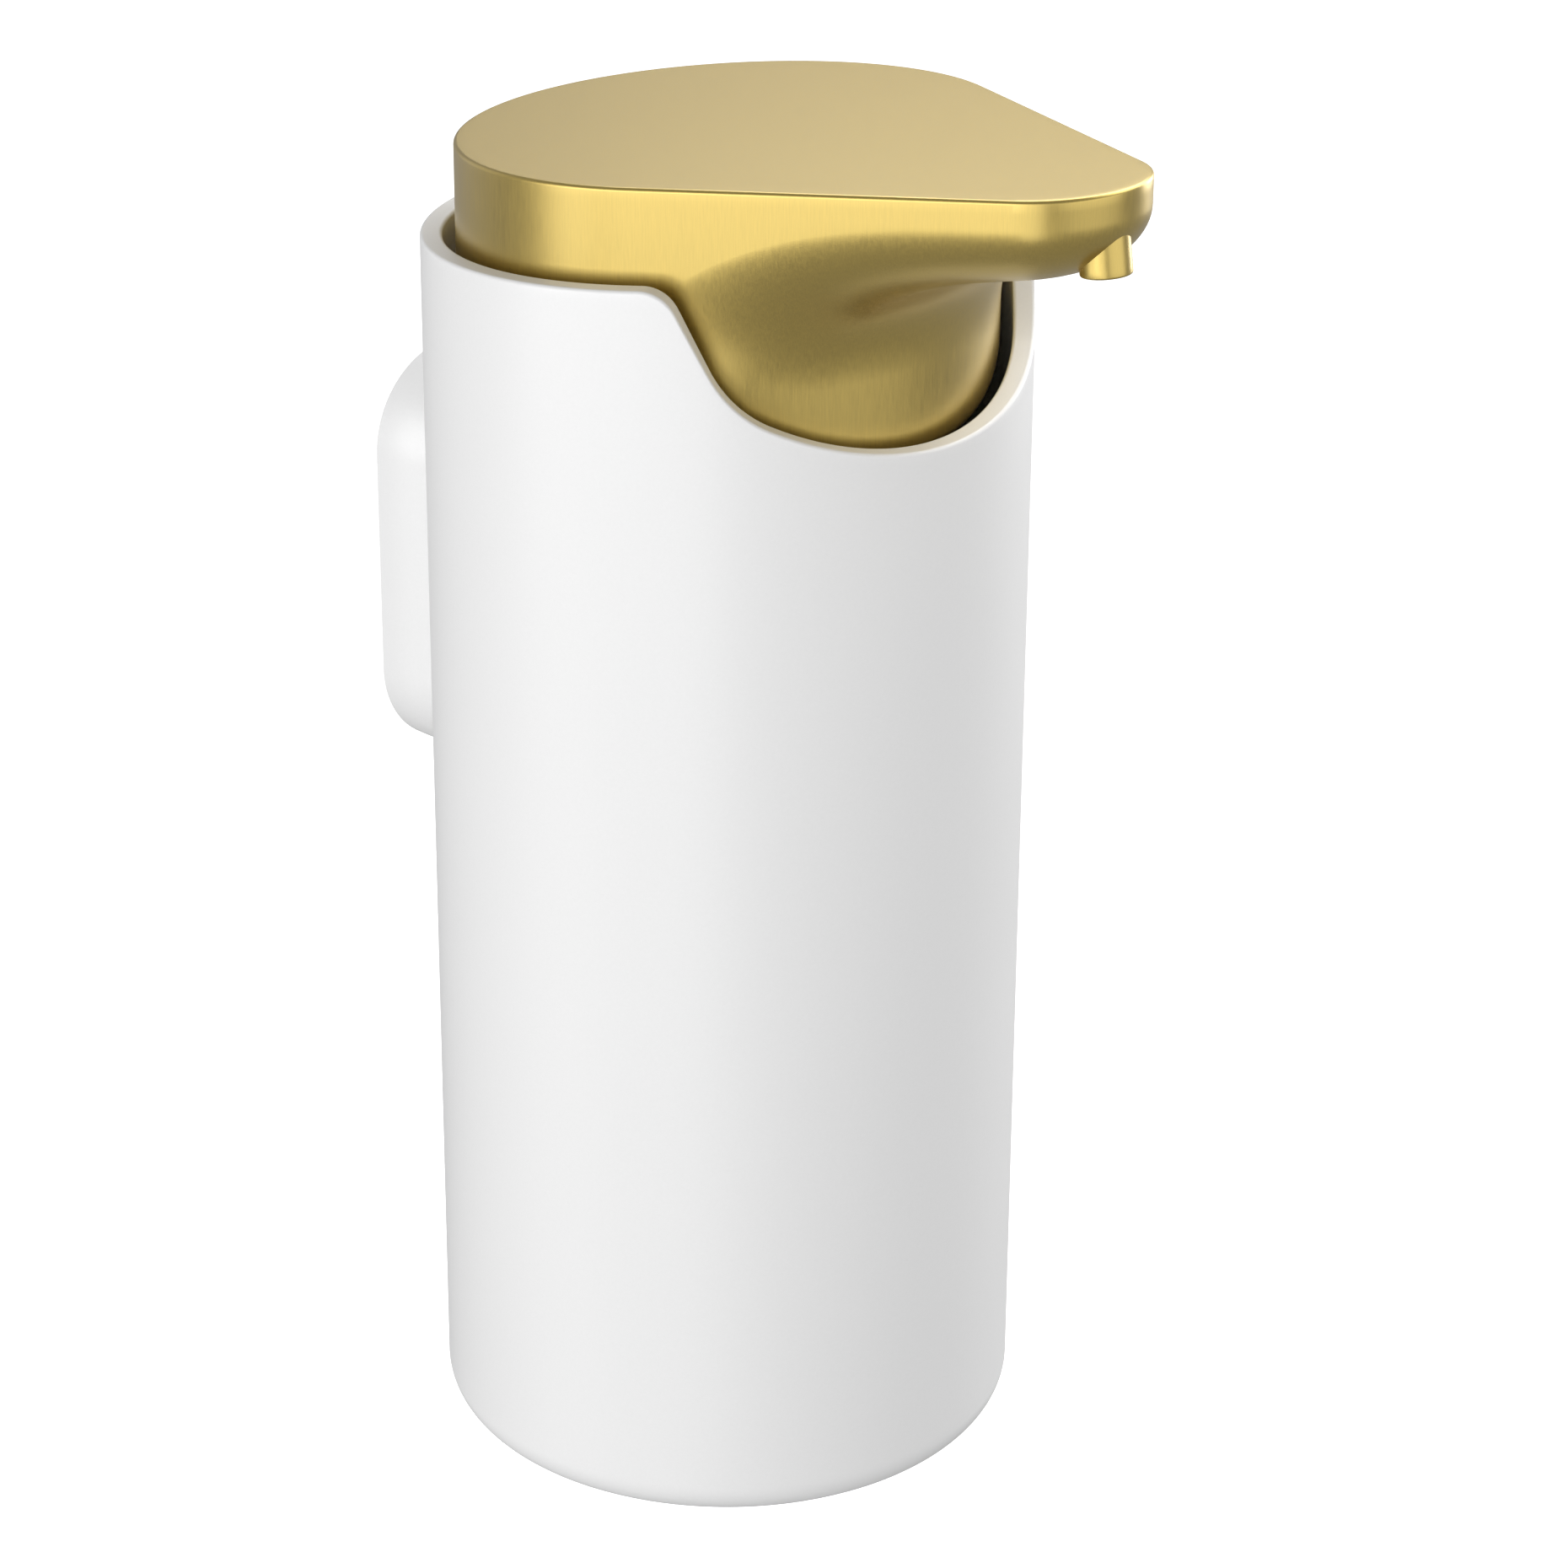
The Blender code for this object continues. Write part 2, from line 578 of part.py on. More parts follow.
def make_lock_screw(place, material):
    foot = BRACKET_CENTRE - BRACKET_LENGTH / 2
    y = lock_screw_y()
    screw = cylinder("lock_screw", place[:2], LOCK_SCREW_RADIUS, (0, y, foot + GAP),
                     (0, y, foot + GAP + LOCK_SCREW_LENGTH), material)
    socket = cylinder("lock_screw_socket", place[2:], LOCK_SCREW_SOCKET, (0, y, foot - MM),
                      (0, y, foot + GAP + LOCK_SCREW_LENGTH / 2), steps=6)
    cut(screw, as_cutter(socket))
    return screw


def pan_screw(name, place, radius, length, head_radius, head_height, material, steps):
    """Pan head screw that points down from its seat, with a hexagon socket in its head."""
    profile = [
        (0, head_height), (head_radius * SCREW_CROWN, head_height),
        (head_radius, head_height * SCREW_SHOULDER), (head_radius, 0),
        (radius, 0), (radius, -length), (0, -length),
    ]
    screw = turned(name, profile, place[:2], material, steps=steps)
    socket = cylinder(f"{name}_socket", place[2:], head_radius * SCREW_SOCKET,
                      (0, 0, head_height * (1 - SCREW_SOCKET_DEPTH)), (0, 0, head_height + MM), steps=6)
    socket.parent = screw
    cut(screw, as_cutter(socket))
    shade(screw)
    return screw


def make_cup_screw(name, place, side, material):
    """Screw from inside the cup, through its wall, into the bracket."""
    screw = pan_screw(name, place, CUP_SCREW_RADIUS, CUP_SCREW_LENGTH, CUP_SCREW_HEAD,
                      CUP_SCREW_HEAD_HEIGHT, material, 32)
    seat = math.sqrt(CUP_INSIDE ** 2 - CUP_SCREW_HEAD ** 2) - GAP
    screw.location = (0, seat, BRACKET_CENTRE + side * CUP_SCREW_SPACING / 2)
    screw.rotation_euler = (math.radians(90), 0, 0)
    return screw


# ---------------------------------------------------------------- cup

def make_cup(place, material):
    """Turned cup whose rim is then raised and lowered to the slope and the dip."""
    inner = CUP_INSIDE
    rounding = CUP_RIM_ROUND
    top = CUP_HEIGHT
    outside = [(CUP_RADIUS - rounding, top), (CUP_RADIUS, top - rounding)]
    fillet = 5
    for step in range(fillet + 1):
        angle = math.radians(90 * step / fillet)
        outside.append((
            CUP_RADIUS - CUP_FOOT_ROUND * (1 - math.cos(angle)),
            CUP_FOOT_ROUND * (1 - math.sin(angle)),
        ))
    outside.append((0, 0))
    inside = [
        (0, CUP_FLOOR), (inner - CUP_INNER_ROUND, CUP_FLOOR), (inner, CUP_FLOOR + CUP_INNER_ROUND),
        (inner, top - rounding), (inner + rounding, top),
    ]
    cup = solid_mesh(turned("cup", outside, place[:2], material, RIM_STEPS, inside))
    for vertex in cup.data.vertices:
        if vertex.co.z > top - 2 * rounding:
            angle = math.atan2(vertex.co.x, -vertex.co.y)
            vertex.co.z += rim_height(angle) - top
    for side in (-1, 1):
        z = BRACKET_CENTRE + side * CUP_SCREW_SPACING / 2
        hole = cylinder(f"cup_hole_{side}", place[2:], CUP_SCREW_RADIUS + FIT, (0, inner - 3 * MM, z),
                        (0, CUP_RADIUS + 3 * MM, z), steps=24)
        cut(cup, as_cutter(hole))
    shade(cup)
    return cup


def make_bottle_pad(place, material):
    base = CUP_FLOOR + GAP
    pad = turned("bottle_pad", tube_profile(BOTTLE_PAD_RADIUS, BOTTLE_PAD_RADIUS / 2,
                                            base + BOTTLE_PAD_THICKNESS, base), place[:2], material)
    shade(pad)
    return pad


# ---------------------------------------------------------------- bottle and pump

def make_bottle(place, material):
    wall = BOTTLE_WALL
    foot = BOTTLE_FOOT
    shoulder_top = BOTTLE_SHOULDER + BOTTLE_SHOULDER_RISE
    corner = BOTTLE_CORNER
    bead = NECK_BEAD
    bead_top = NECK_TOP - NECK_BEAD_DROP
    outside = [
        (NECK_RADIUS, NECK_TOP), (NECK_RADIUS, bead_top), (NECK_RADIUS + bead, bead_top - bead),
        (NECK_RADIUS + bead, bead_top - 2 * bead), (NECK_RADIUS, bead_top - 3 * bead),
        (NECK_RADIUS, shoulder_top), (BOTTLE_RADIUS - corner, BOTTLE_SHOULDER + corner / 2),
        (BOTTLE_RADIUS - corner / 4, BOTTLE_SHOULDER - corner / 4), (BOTTLE_RADIUS, BOTTLE_SHOULDER - corner),
        (BOTTLE_RADIUS, foot + corner), (BOTTLE_RADIUS - corner / 4, foot + corner / 4),
        (BOTTLE_RADIUS - corner, foot), (0, foot),
    ]
    inside = [
        (0, foot + wall), (BOTTLE_RADIUS - corner - wall / 2, foot + wall),
        (BOTTLE_RADIUS - wall, foot + corner + wall / 2),
        (BOTTLE_RADIUS - wall, BOTTLE_SHOULDER - corner - wall / 2),
        (BOTTLE_RADIUS - corner - wall / 2, BOTTLE_SHOULDER + corner / 2 - wall * 1.2),
        (NECK_RADIUS - wall, shoulder_top - wall * 1.2), (NECK_RADIUS - wall, NECK_TOP),
    ]
    bottle = turned("bottle", outside, place[:2], material, inside=inside)
    shade(bottle)
    return bottle


def make_collar(place, material):
    """Screw closure over the neck, with grip ribs outside."""
    inner = NECK_RADIUS + NECK_BEAD + FIT
    outer = inner + COLLAR_WALL
    base = COLLAR_TOP - COLLAR_HEIGHT
    profile = [
        (outer - COLLAR_EDGE, COLLAR_TOP), (outer, COLLAR_TOP - COLLAR_EDGE), (outer, base), (inner, base),
        (inner, FLANGE_TOP + GAP), (HOUSING_RADIUS + FIT, FLANGE_TOP + GAP),
        (HOUSING_RADIUS + FIT, COLLAR_TOP),
    ]
    collar = turned("closure_collar", profile, place[:2], material)
    ribs = new_rib_ring("collar_ribs", place[2:], outer, base + COLLAR_EDGE, COLLAR_TOP - COLLAR_RIB_DROP)
    cut(collar, as_cutter(ribs))
    shade(collar)
    return collar


def new_rib_ring(name, place, radius, low, high):
    """A ring of upright grooves' cutters, as one mesh."""
    mesh = bpy.data.meshes.new(name)
    work = bmesh.new()
    for index in range(COLLAR_RIBS):
        made = bmesh.ops.create_cone(
            work, cap_ends=True, segments=4, radius1=COLLAR_RIB_RADIUS, radius2=COLLAR_RIB_RADIUS,
            depth=high - low,
        )
        angle = 2 * math.pi * (index + 0.5) / COLLAR_RIBS
        bmesh.ops.translate(
            work, verts=made["verts"],
            vec=(radius * math.cos(angle), radius * math.sin(angle), (low + high) / 2),
        )
    work.to_mesh(mesh)
    work.free()
    return add_object(name, mesh, *place)


def make_gasket(place, material):
    gasket = turned("neck_gasket", tube_profile(NECK_RADIUS - GASKET_INSET, HOUSING_RADIUS + FIT,
                                                GASKET_BASE + GASKET_THICKNESS, GASKET_BASE),
                    place[:2], material)
    shade(gasket)
    return gasket


def make_housing(place, material):
    """Pump barrel with a flange on the neck, a ball seat in its floor and an inlet spigot below."""
    socket = DIP_TUBE_RADIUS + SLIDE
    spigot = socket + HOUSING_WALL
    profile = [
        (NECK_RADIUS, FLANGE_TOP), (NECK_RADIUS, FLANGE_BASE), (HOUSING_RADIUS, FLANGE_BASE),
        (HOUSING_RADIUS, HOUSING_FOOT + HOUSING_TAPER), (spigot, HOUSING_FOOT), (spigot, INLET_FOOT),
        (socket, INLET_FOOT), (socket, DIP_TUBE_TOP + GAP), (BALL_SEAT_BORE, DIP_TUBE_TOP + GAP),
        (BALL_SEAT_BORE, CHAMBER_FLOOR), (HOUSING_BORE, CHAMBER_FLOOR), (HOUSING_BORE, FLANGE_TOP),
    ]
    housing = turned("pump_housing", profile, place[:2], material)
    shade(housing)
    return housing


def make_cap(place, material):
    """Cap that closes the barrel round the stem, with a sleeve that stops the piston."""
    outer = HOUSING_BORE - SLIDE
    inner = STEM_RADIUS + SLIDE
    rim = HOUSING_RADIUS + CAP_OVERHANG
    top = CAP_BASE + CAP_THICKNESS
    profile = [
        (rim - CAP_EDGE, top), (rim, top - CAP_EDGE), (rim, CAP_BASE), (outer, CAP_BASE),
        (outer, FLANGE_TOP - CAP_SLEEVE), (inner, FLANGE_TOP - CAP_SLEEVE), (inner, top),
    ]
    cap = turned("barrel_cap", profile, place[:2], material)
    shade(cap)
    return cap


def make_cage(place, material):
    cage = turned("ball_cage", tube_profile(HOUSING_BORE - SLIDE, CAGE_BORE, CAGE_TOP, CAGE_BASE),
                  place[:2], material)
    shade(cage)
    return cage


def make_ball(place, material):
    mesh = bpy.data.meshes.new("inlet_ball")
    work = bmesh.new()
    bmesh.ops.create_uvsphere(work, u_segments=16, v_segments=8, radius=BALL_RADIUS)
    work.to_mesh(mesh)
    work.free()
    ball = add_object("inlet_ball", mesh, *place[:2], material, location=(0, 0, BALL_CENTRE))
    shade(ball)
    return ball


def make_dip_tube(place, material):
    foot = BOTTLE_FOOT + BOTTLE_WALL + DIP_TUBE_CLEARANCE
    tube = turned("dip_tube", tube_profile(DIP_TUBE_RADIUS, DIP_TUBE_BORE, DIP_TUBE_TOP, foot),
                  place[:2], material, steps=24)
    reach = 3 * DIP_TUBE_RADIUS
    tip = block("dip_tube_slant", place[2:], (-reach, -reach, foot - reach), (reach, reach, foot))
    tip.rotation_euler = (DIP_TUBE_SLANT, 0, 0)
    cut(tube, as_cutter(tip))
    shade(tube)
    return tube


def make_spring(place, material):
    """Return spring between the ball cage and the piston."""
    low = CAGE_TOP + SLIDE + SPRING_WIRE
    high = PISTON_BASE - SLIDE - SPRING_WIRE
    curve = bpy.data.curves.new("return_spring", "CURVE")
    curve.dimensions = "3D"
    curve.bevel_depth = SPRING_WIRE
    curve.bevel_resolution = 2
    curve.use_fill_caps = True
    spline = curve.splines.new("POLY")
    count = SPRING_TURNS * SPRING_POINTS_PER_TURN + 1
    spline.points.add(count - 1)
    for index, point in enumerate(spline.points):
        share = index / (count - 1)
        angle = 2 * math.pi * SPRING_TURNS * share
        height = low + (high - low) * share
        point.co = (SPRING_RADIUS * math.cos(angle), SPRING_RADIUS * math.sin(angle), height, 1)
    return add_object("return_spring", curve, *place[:2], material)


def make_piston(place, material):
    """Piston with a waist for its seal ring and a lip at each end."""
    outer = HOUSING_BORE - SLIDE
    groove = outer - SEAL_GROOVE_DEPTH * SEAL_WIRE
    inner = STEM_RADIUS + PISTON_PRESS + SLIDE
    middle = (PISTON_TOP + PISTON_BASE) / 2
    half = SEAL_GROOVE_HALF * SEAL_WIRE
    profile = [
        (outer, PISTON_TOP), (outer, middle + half), (groove, middle + half),
        (groove, middle - half), (outer, middle - half), (outer, PISTON_BASE),
        (STEM_BORE, PISTON_BASE), (STEM_BORE, PISTON_BASE + PISTON_STEP),
        (inner, PISTON_BASE + PISTON_STEP), (inner, PISTON_TOP),
    ]
    piston = turned("piston", profile, place[:2], material)
    shade(piston)
    return piston


def make_seal(place, material):
    """O-ring in the piston's groove."""
    outer = HOUSING_BORE - SEAL_TOUCH
    radius = SEAL_WIRE * SEAL_ROUND
    middle = (PISTON_TOP + PISTON_BASE) / 2
    steps = 8
    profile = []
    for step in range(steps):
        angle = math.radians(90 - 360 * step / steps)
        profile.append((outer - radius + radius * math.cos(angle), middle + radius * math.sin(angle)))
    seal = turned("piston_seal", profile, place[:2], material)
    shade(seal, 60)
    return seal


def make_stem(place, material):
    foot = PISTON_BASE + PISTON_STEP + GAP
    stem = turned("pump_stem", tube_profile(STEM_RADIUS, STEM_BORE, STEM_TOP, foot), place[:2], material,
                  steps=32)
    shade(stem)
    return stem


# ---------------------------------------------------------------- head

def make_head_shell(place, material):
    """Teardrop head lofted from its top edge, under the spout and down the skirt, then hollowed."""
    outline = outline_points()
    rings = []
    for depth in (0.0, HEAD_EDGE_DEPTH / 2, HEAD_EDGE_DEPTH * HEAD_EDGE_LAST):
        rings.append([(x, f, head_plane(f) - depth) for x, f in outline])
    spans = 9
    for step in range(spans + 1):
        share = (1 - math.cos(math.pi * step / spans)) / 2
        rings.append([underside_point(x, f, share) for x, f in outline])
    rounding = 4
    for step in range(rounding + 1):
        angle = math.radians(90 * step / rounding)
        radius = HEAD_RADIUS - SKIRT_ROUND * (1 - math.cos(angle))
        lift = SKIRT_ROUND * (1 - math.sin(angle))
        rings.append([skirt_point(x, f, radius, lift) for x, f in outline])
    mesh = bpy.data.meshes.new("head_shell")
    work = bmesh.new()
    loops = [[work.verts.new((x, -f, z)) for x, f, z in ring] for ring in rings]
    count = len(outline)
    for upper, lower in zip(loops, loops[1:]):
        for index in range(count):
            after = (index + 1) % count
            corners = (upper[index], upper[after], lower[after], lower[index])
            work.faces.new(corners)
    work.faces.new(loops[0])
    foot = work.verts.new((0, 0, HEAD_TOP - 20 * MM))
    for index in range(count):
        work.faces.new((loops[-1][(index + 1) % count], loops[-1][index], foot))
    bmesh.ops.remove_doubles(work, verts=work.verts, dist=FINE_MERGE)
    bmesh.ops.recalc_face_normals(work, faces=work.faces)
    work.to_mesh(mesh)
    work.free()
    shell = add_object("head_shell", mesh, *place[:2], material)
    cutters = place[2:]
    cut(shell, as_cutter(head_hollow(cutters)))
    cut(shell, as_cutter(spout_duct(cutters)))
    start, end = nozzle_line(-MM, GAP)
    cut(shell, as_cutter(cylinder("nozzle_bore", cutters, NOZZLE_RADIUS + GAP, start, end)))
    for index in range(CORE_SCREW_COUNT):
        x, y = core_screw_place(index)
        ceiling = head_plane(-y) - HEAD_CEILING
        post = cylinder(f"core_post_{index}", cutters, CORE_POST_RADIUS, (x, y, CORE_TOP + GAP),
                        (x, y, ceiling + HEAD_CEILING / 2), steps=24)
        join(shell, as_cutter(post))
        hole = cylinder(f"post_hole_{index}", cutters, CORE_SCREW_RADIUS + GAP, (x, y, CORE_TOP - MM),
                        (x, y, CORE_TOP - CORE_THICKNESS + CORE_SCREW_LENGTH + GAP), steps=16)
        cut(shell, as_cutter(hole))
    shade(shell, 30)
    return shell


def skirt_foot(angle):
    """Height of the skirt's edge, which follows the dip and is level round the back."""
    return min(rim_height(angle) - SKIRT_BELOW_RIM, SKIRT_BACK)


def underside_point(x, forward, share):
    """A point of the lower surface, a share of the way in from the outline to the skirt."""
    reach = math.hypot(x, forward)
    inner = HEAD_RADIUS
    radius = reach + (inner - reach) * share
    px, pf = x * radius / reach, forward * radius / reach
    depth = underside_depth(px, pf)
    if reach - inner < 1e-9:
        depth = HEAD_EDGE_DEPTH + SPOUT_FILLET * share
    return px, pf, head_plane(pf) - depth


def skirt_point(x, forward, radius, lift):
    reach = math.hypot(x, forward)
    angle = math.atan2(x, forward)
    return x * radius / reach, forward * radius / reach, skirt_foot(angle) + lift


def head_hollow(place):
    """Cutter for the inside of the skirt, up to a ceiling parallel to the head's top."""
    radius = HEAD_RADIUS - SKIRT_WALL
    hollow = cylinder("head_hollow", place, radius, (0, 0, DIP_FLOOR - 20 * MM), (0, 0, HEAD_TOP),
                      steps=72)
    for vertex in hollow.data.vertices:
        if vertex.co.z > 0:
            vertex.co.z = head_plane(-vertex.co.y) - HEAD_CEILING - hollow.location.z
    return hollow


def duct_end():
    return SPOUT_CENTRE + SPOUT_TIP_RADIUS - DUCT_END_WALL


def spout_duct(place):
    """Cutter for the channel's way through the spout."""
    half = DUCT_WIDTH / 2
    near, far = HEAD_RADIUS - 2 * SKIRT_WALL, duct_end()
    low, high = HEAD_CEILING + DUCT_HEIGHT, HEAD_CEILING
    return prism("spout_duct", place, [
        (-near, head_plane(near) - low), (-far, head_plane(far) - low + DUCT_RISE),
        (-far, head_plane(far) - high), (-near, head_plane(near) - high),
    ], half)


def nozzle_line(below, above):
    """Two points on the nozzle's axis, from its lower end."""
    foot = Vector((0, -NOZZLE_REACH, NOZZLE_END))
    up = Vector((0, math.sin(NOZZLE_TILT), math.cos(NOZZLE_TILT)))
    return foot + up * below, foot + up * (NOZZLE_LENGTH + above)


def make_nozzle(place, material):
    start, end = nozzle_line(0.0, 0.0)
    nozzle = cylinder("nozzle", place[:2], NOZZLE_RADIUS, start, end, material, steps=40)
    first, last = nozzle_line(-MM, -NOZZLE_TOP_WALL)
    cut(nozzle, as_cutter(cylinder("nozzle_hole", place[2:], NOZZLE_BORE, first, last, steps=24)))
    near = grommet_end() - MM
    far = NOZZLE_REACH
    inlet = cylinder("nozzle_inlet", place[2:], NOZZLE_INLET, (0, -near, channel_height(near)),
                     (0, -far, channel_height(far)), steps=16)
    cut(nozzle, as_cutter(inlet))
    shade(nozzle)
    return nozzle


def channel_height(forward):
    """Height of the soap channel's centre line."""
    return head_plane(forward) - HEAD_CEILING - CHANNEL_DEPTH


def grommet_end():
    """Distance from the axis to the grommet's face at the nozzle."""
    return NOZZLE_REACH - MM - NOZZLE_RADIUS - GAP


def hollow_rod(name, place, radius, bore, near, far, material):
    """A tube on the soap channel's line, between two distances from the axis."""
    rod = cylinder(name, place[:2], radius, (0, -near, channel_height(near)),
                   (0, -far, channel_height(far)), material, steps=24)
    before, after = near - MM, far + MM
    cut(rod, as_cutter(cylinder(f"{name}_bore", place[2:], bore, (0, -before, channel_height(before)),
                                (0, -after, channel_height(after)), steps=16)))
    shade(rod)
    return rod


def make_channel(place, material):
    """Tube from the core's outlet to the grommet."""
    near = CORE_BOSS_RADIUS + GAP
    far = grommet_end() - GROMMET_LENGTH - GAP
    return hollow_rod("soap_channel", place, CHANNEL_RADIUS, CHANNEL_BORE, near, far, material)


def make_grommet(place, material):
    """Rubber seal between the soap channel and the nozzle's inlet."""
    far = grommet_end()
    near = far - GROMMET_LENGTH
    return hollow_rod("spout_grommet", place, GROMMET_RADIUS, CHANNEL_BORE, near, far, material)


def make_core(place, material):
    """Plate under the ceiling with the stem's socket, its outlet and three screw holes."""
    base = CORE_TOP - CORE_THICKNESS
    boss_foot = CORE_TOP - CORE_BOSS_DEPTH
    hub_top = CORE_TOP + CORE_HUB_HEIGHT
    outlet = channel_height(CORE_BOSS_RADIUS)
    profile = [
        (0, hub_top), (CORE_BOSS_RADIUS, hub_top), (CORE_BOSS_RADIUS, CORE_TOP), (CORE_RADIUS, CORE_TOP),
        (CORE_RADIUS, base), (CORE_BOSS_RADIUS, base), (CORE_BOSS_RADIUS, boss_foot),
        (STEM_RADIUS + SLIDE, boss_foot), (STEM_RADIUS + SLIDE, STEM_TOP + GAP), (STEM_BORE, STEM_TOP + GAP),
        (STEM_BORE, outlet), (0, outlet),
    ]
    core = turned("head_core", profile, place[:2], material)
    cutters = place[2:]
    for index in range(CORE_SCREW_COUNT):
        x, y = core_screw_place(index)
        hole = cylinder(f"core_hole_{index}", cutters, CORE_SCREW_RADIUS + FIT, (x, y, base - MM),
                        (x, y, CORE_TOP + MM), steps=16)
        cut(core, as_cutter(hole))
    side = cylinder("core_outlet", cutters, CHANNEL_BORE, (0, 0, channel_height(0)),
                    (0, -CORE_BOSS_RADIUS - MM, channel_height(CORE_BOSS_RADIUS + MM)), steps=16)
    cut(core, as_cutter(side))
    shade(core)
    return core


def core_screw_place(index):
    angle = math.radians(90 + 360 * index / CORE_SCREW_COUNT)
    return CORE_SCREW_CIRCLE * math.cos(angle), CORE_SCREW_CIRCLE * math.sin(angle)


def make_core_screw(index, place, material):
    """Screw from under the core into its post."""
    screw = pan_screw(f"core_screw_{index + 1}", place, CORE_SCREW_RADIUS, CORE_SCREW_LENGTH,
                      CORE_SCREW_HEAD, CORE_SCREW_HEAD_HEIGHT, material, 20)
    x, y = core_screw_place(index)
    screw.location = (x, y, CORE_TOP - CORE_THICKNESS - GAP)
    screw.rotation_euler = (math.radians(180), 0, 0)
    return screw


def main():
    clear_scene()
    parts = new_collection("soap_dispenser")
    cutters = new_collection("cutters")

    white = make_material("white powder coat", (0.86, 0.86, 0.85), 0.45)
    gold = make_material("brushed gold", (0.72, 0.53, 0.20), 0.33, 1.0)
    steel = make_material("stainless steel", (0.60, 0.60, 0.60), 0.35, 1.0)
    clear = make_material("natural plastic", (0.80, 0.82, 0.80), 0.35)
    black = make_material("black plastic", (0.03, 0.03, 0.03), 0.45)
    rubber = make_material("grey rubber", (0.20, 0.20, 0.21), 0.80)

    cup_axis = add_empty("cup_axis", parts, location=(0, -WALL_REACH, -PLATE_HEIGHT))
    fixed = (parts, cup_axis, cutters, cup_axis)
    make_wall_plate(fixed, steel)
    holder_axis = add_empty("lift_off_axis", parts, cup_axis)
    holder = (parts, holder_axis, cutters, cup_axis)
    make_bracket(holder, white)
    make_lock_screw(holder, steel)
    make_cup_screw("cup_screw_lower", holder, -1, steel)
    make_cup_screw("cup_screw_upper", holder, 1, steel)
    make_cup(holder, white)
    make_bottle_pad(holder, rubber)

    refill_axis = add_empty("refill_axis", parts, holder_axis)
    refill = (parts, refill_axis, cutters, cup_axis)
    make_bottle(refill, clear)
    make_collar(refill, black)
    make_gasket(refill, rubber)
    make_housing(refill, clear)
    make_cap(refill, black)
    make_cage(refill, clear)
    make_dip_tube(refill, clear)
    make_spring(refill, steel)
    make_ball(refill, steel)

    press_axis = add_empty("press_axis", parts, refill_axis)
    pressed = (parts, press_axis, cutters, cup_axis)
    make_head_shell(pressed, gold)
    make_nozzle(pressed, gold)
    make_channel(pressed, clear)
    make_grommet(pressed, rubber)
    make_core(pressed, black)
    for index in range(CORE_SCREW_COUNT):
        make_core_screw(index, pressed, steel)
    make_stem(pressed, clear)
    make_piston(pressed, black)
    make_seal(pressed, rubber)


main()
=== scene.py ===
import math

import bmesh
import bpy
from bpy.props import FloatProperty, FloatVectorProperty, IntProperty, PointerProperty
from mathutils import Matrix, Vector


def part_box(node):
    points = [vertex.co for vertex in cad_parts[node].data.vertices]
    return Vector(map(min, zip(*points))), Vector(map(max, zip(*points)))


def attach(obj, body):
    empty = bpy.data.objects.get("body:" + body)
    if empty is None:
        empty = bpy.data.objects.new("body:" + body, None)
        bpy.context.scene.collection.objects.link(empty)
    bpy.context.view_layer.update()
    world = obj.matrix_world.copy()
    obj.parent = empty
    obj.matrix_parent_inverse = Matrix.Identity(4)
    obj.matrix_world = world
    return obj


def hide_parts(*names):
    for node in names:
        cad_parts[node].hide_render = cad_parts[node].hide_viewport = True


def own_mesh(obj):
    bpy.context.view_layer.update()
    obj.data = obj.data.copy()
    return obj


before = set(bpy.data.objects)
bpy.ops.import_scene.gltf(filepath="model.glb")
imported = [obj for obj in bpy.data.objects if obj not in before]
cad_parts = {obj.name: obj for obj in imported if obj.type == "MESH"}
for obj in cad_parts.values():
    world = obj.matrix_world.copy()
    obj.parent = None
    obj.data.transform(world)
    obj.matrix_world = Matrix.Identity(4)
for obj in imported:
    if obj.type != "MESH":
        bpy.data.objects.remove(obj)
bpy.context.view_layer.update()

bl_info = {
    "name": "Wall Mounted Soap Dispenser",
    "version": (1, 0, 0),
    "blender": (4, 5, 0),
    "location": "View3D > Sidebar > Dispenser",
    "description": "Builds the detailed pieces, finishes and studio of a wall mounted soap dispenser",
    "category": "Object",
}

MM = 0.001
SAME_POINT = 0.004 * MM
SOFT_EDGE = 0.2 * MM
CUP_LOW, CUP_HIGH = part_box("cup")
HEAD_LOW, HEAD_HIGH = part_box("head_shell")
BRACKET_LOW, BRACKET_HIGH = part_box("wall_bracket")
BOTTLE_LOW, BOTTLE_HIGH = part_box("bottle")
COLLAR_LOW, COLLAR_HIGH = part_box("closure_collar")
CAP_LOW, CAP_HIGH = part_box("barrel_cap")
STEM_LOW, STEM_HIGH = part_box("pump_stem")

# The cup's axis at its underside: pieces are made about this point
AXIS = Vector(((CUP_LOW.x + CUP_HIGH.x) / 2, (CUP_LOW.y + CUP_HIGH.y) / 2, CUP_LOW.z))


# Properties of one kind each, so that their defaults can be read in millimetres and degrees

def length(name, description, millimetres):
    return FloatProperty(name=name, description=description, default=millimetres * MM, min=0.0,
                         precision=5, unit="LENGTH")


def colour(name, description, value):
    return FloatVectorProperty(name=name, description=description, default=value, size=3,
                               min=0.0, max=1.0, subtype="COLOR")


def factor(name, description, value):
    return FloatProperty(name=name, description=description, default=value, min=0.0, max=1.0,
                         precision=3, subtype="FACTOR")


def turn(name, description, degrees):
    return FloatProperty(name=name, description=description, default=math.radians(degrees),
                         unit="ROTATION")


def ratio(name, description, value):
    return FloatProperty(name=name, description=description, default=value, precision=4)


def power(name, description, watts):
    return FloatProperty(name=name, description=description, default=watts, min=0.0, unit="POWER")


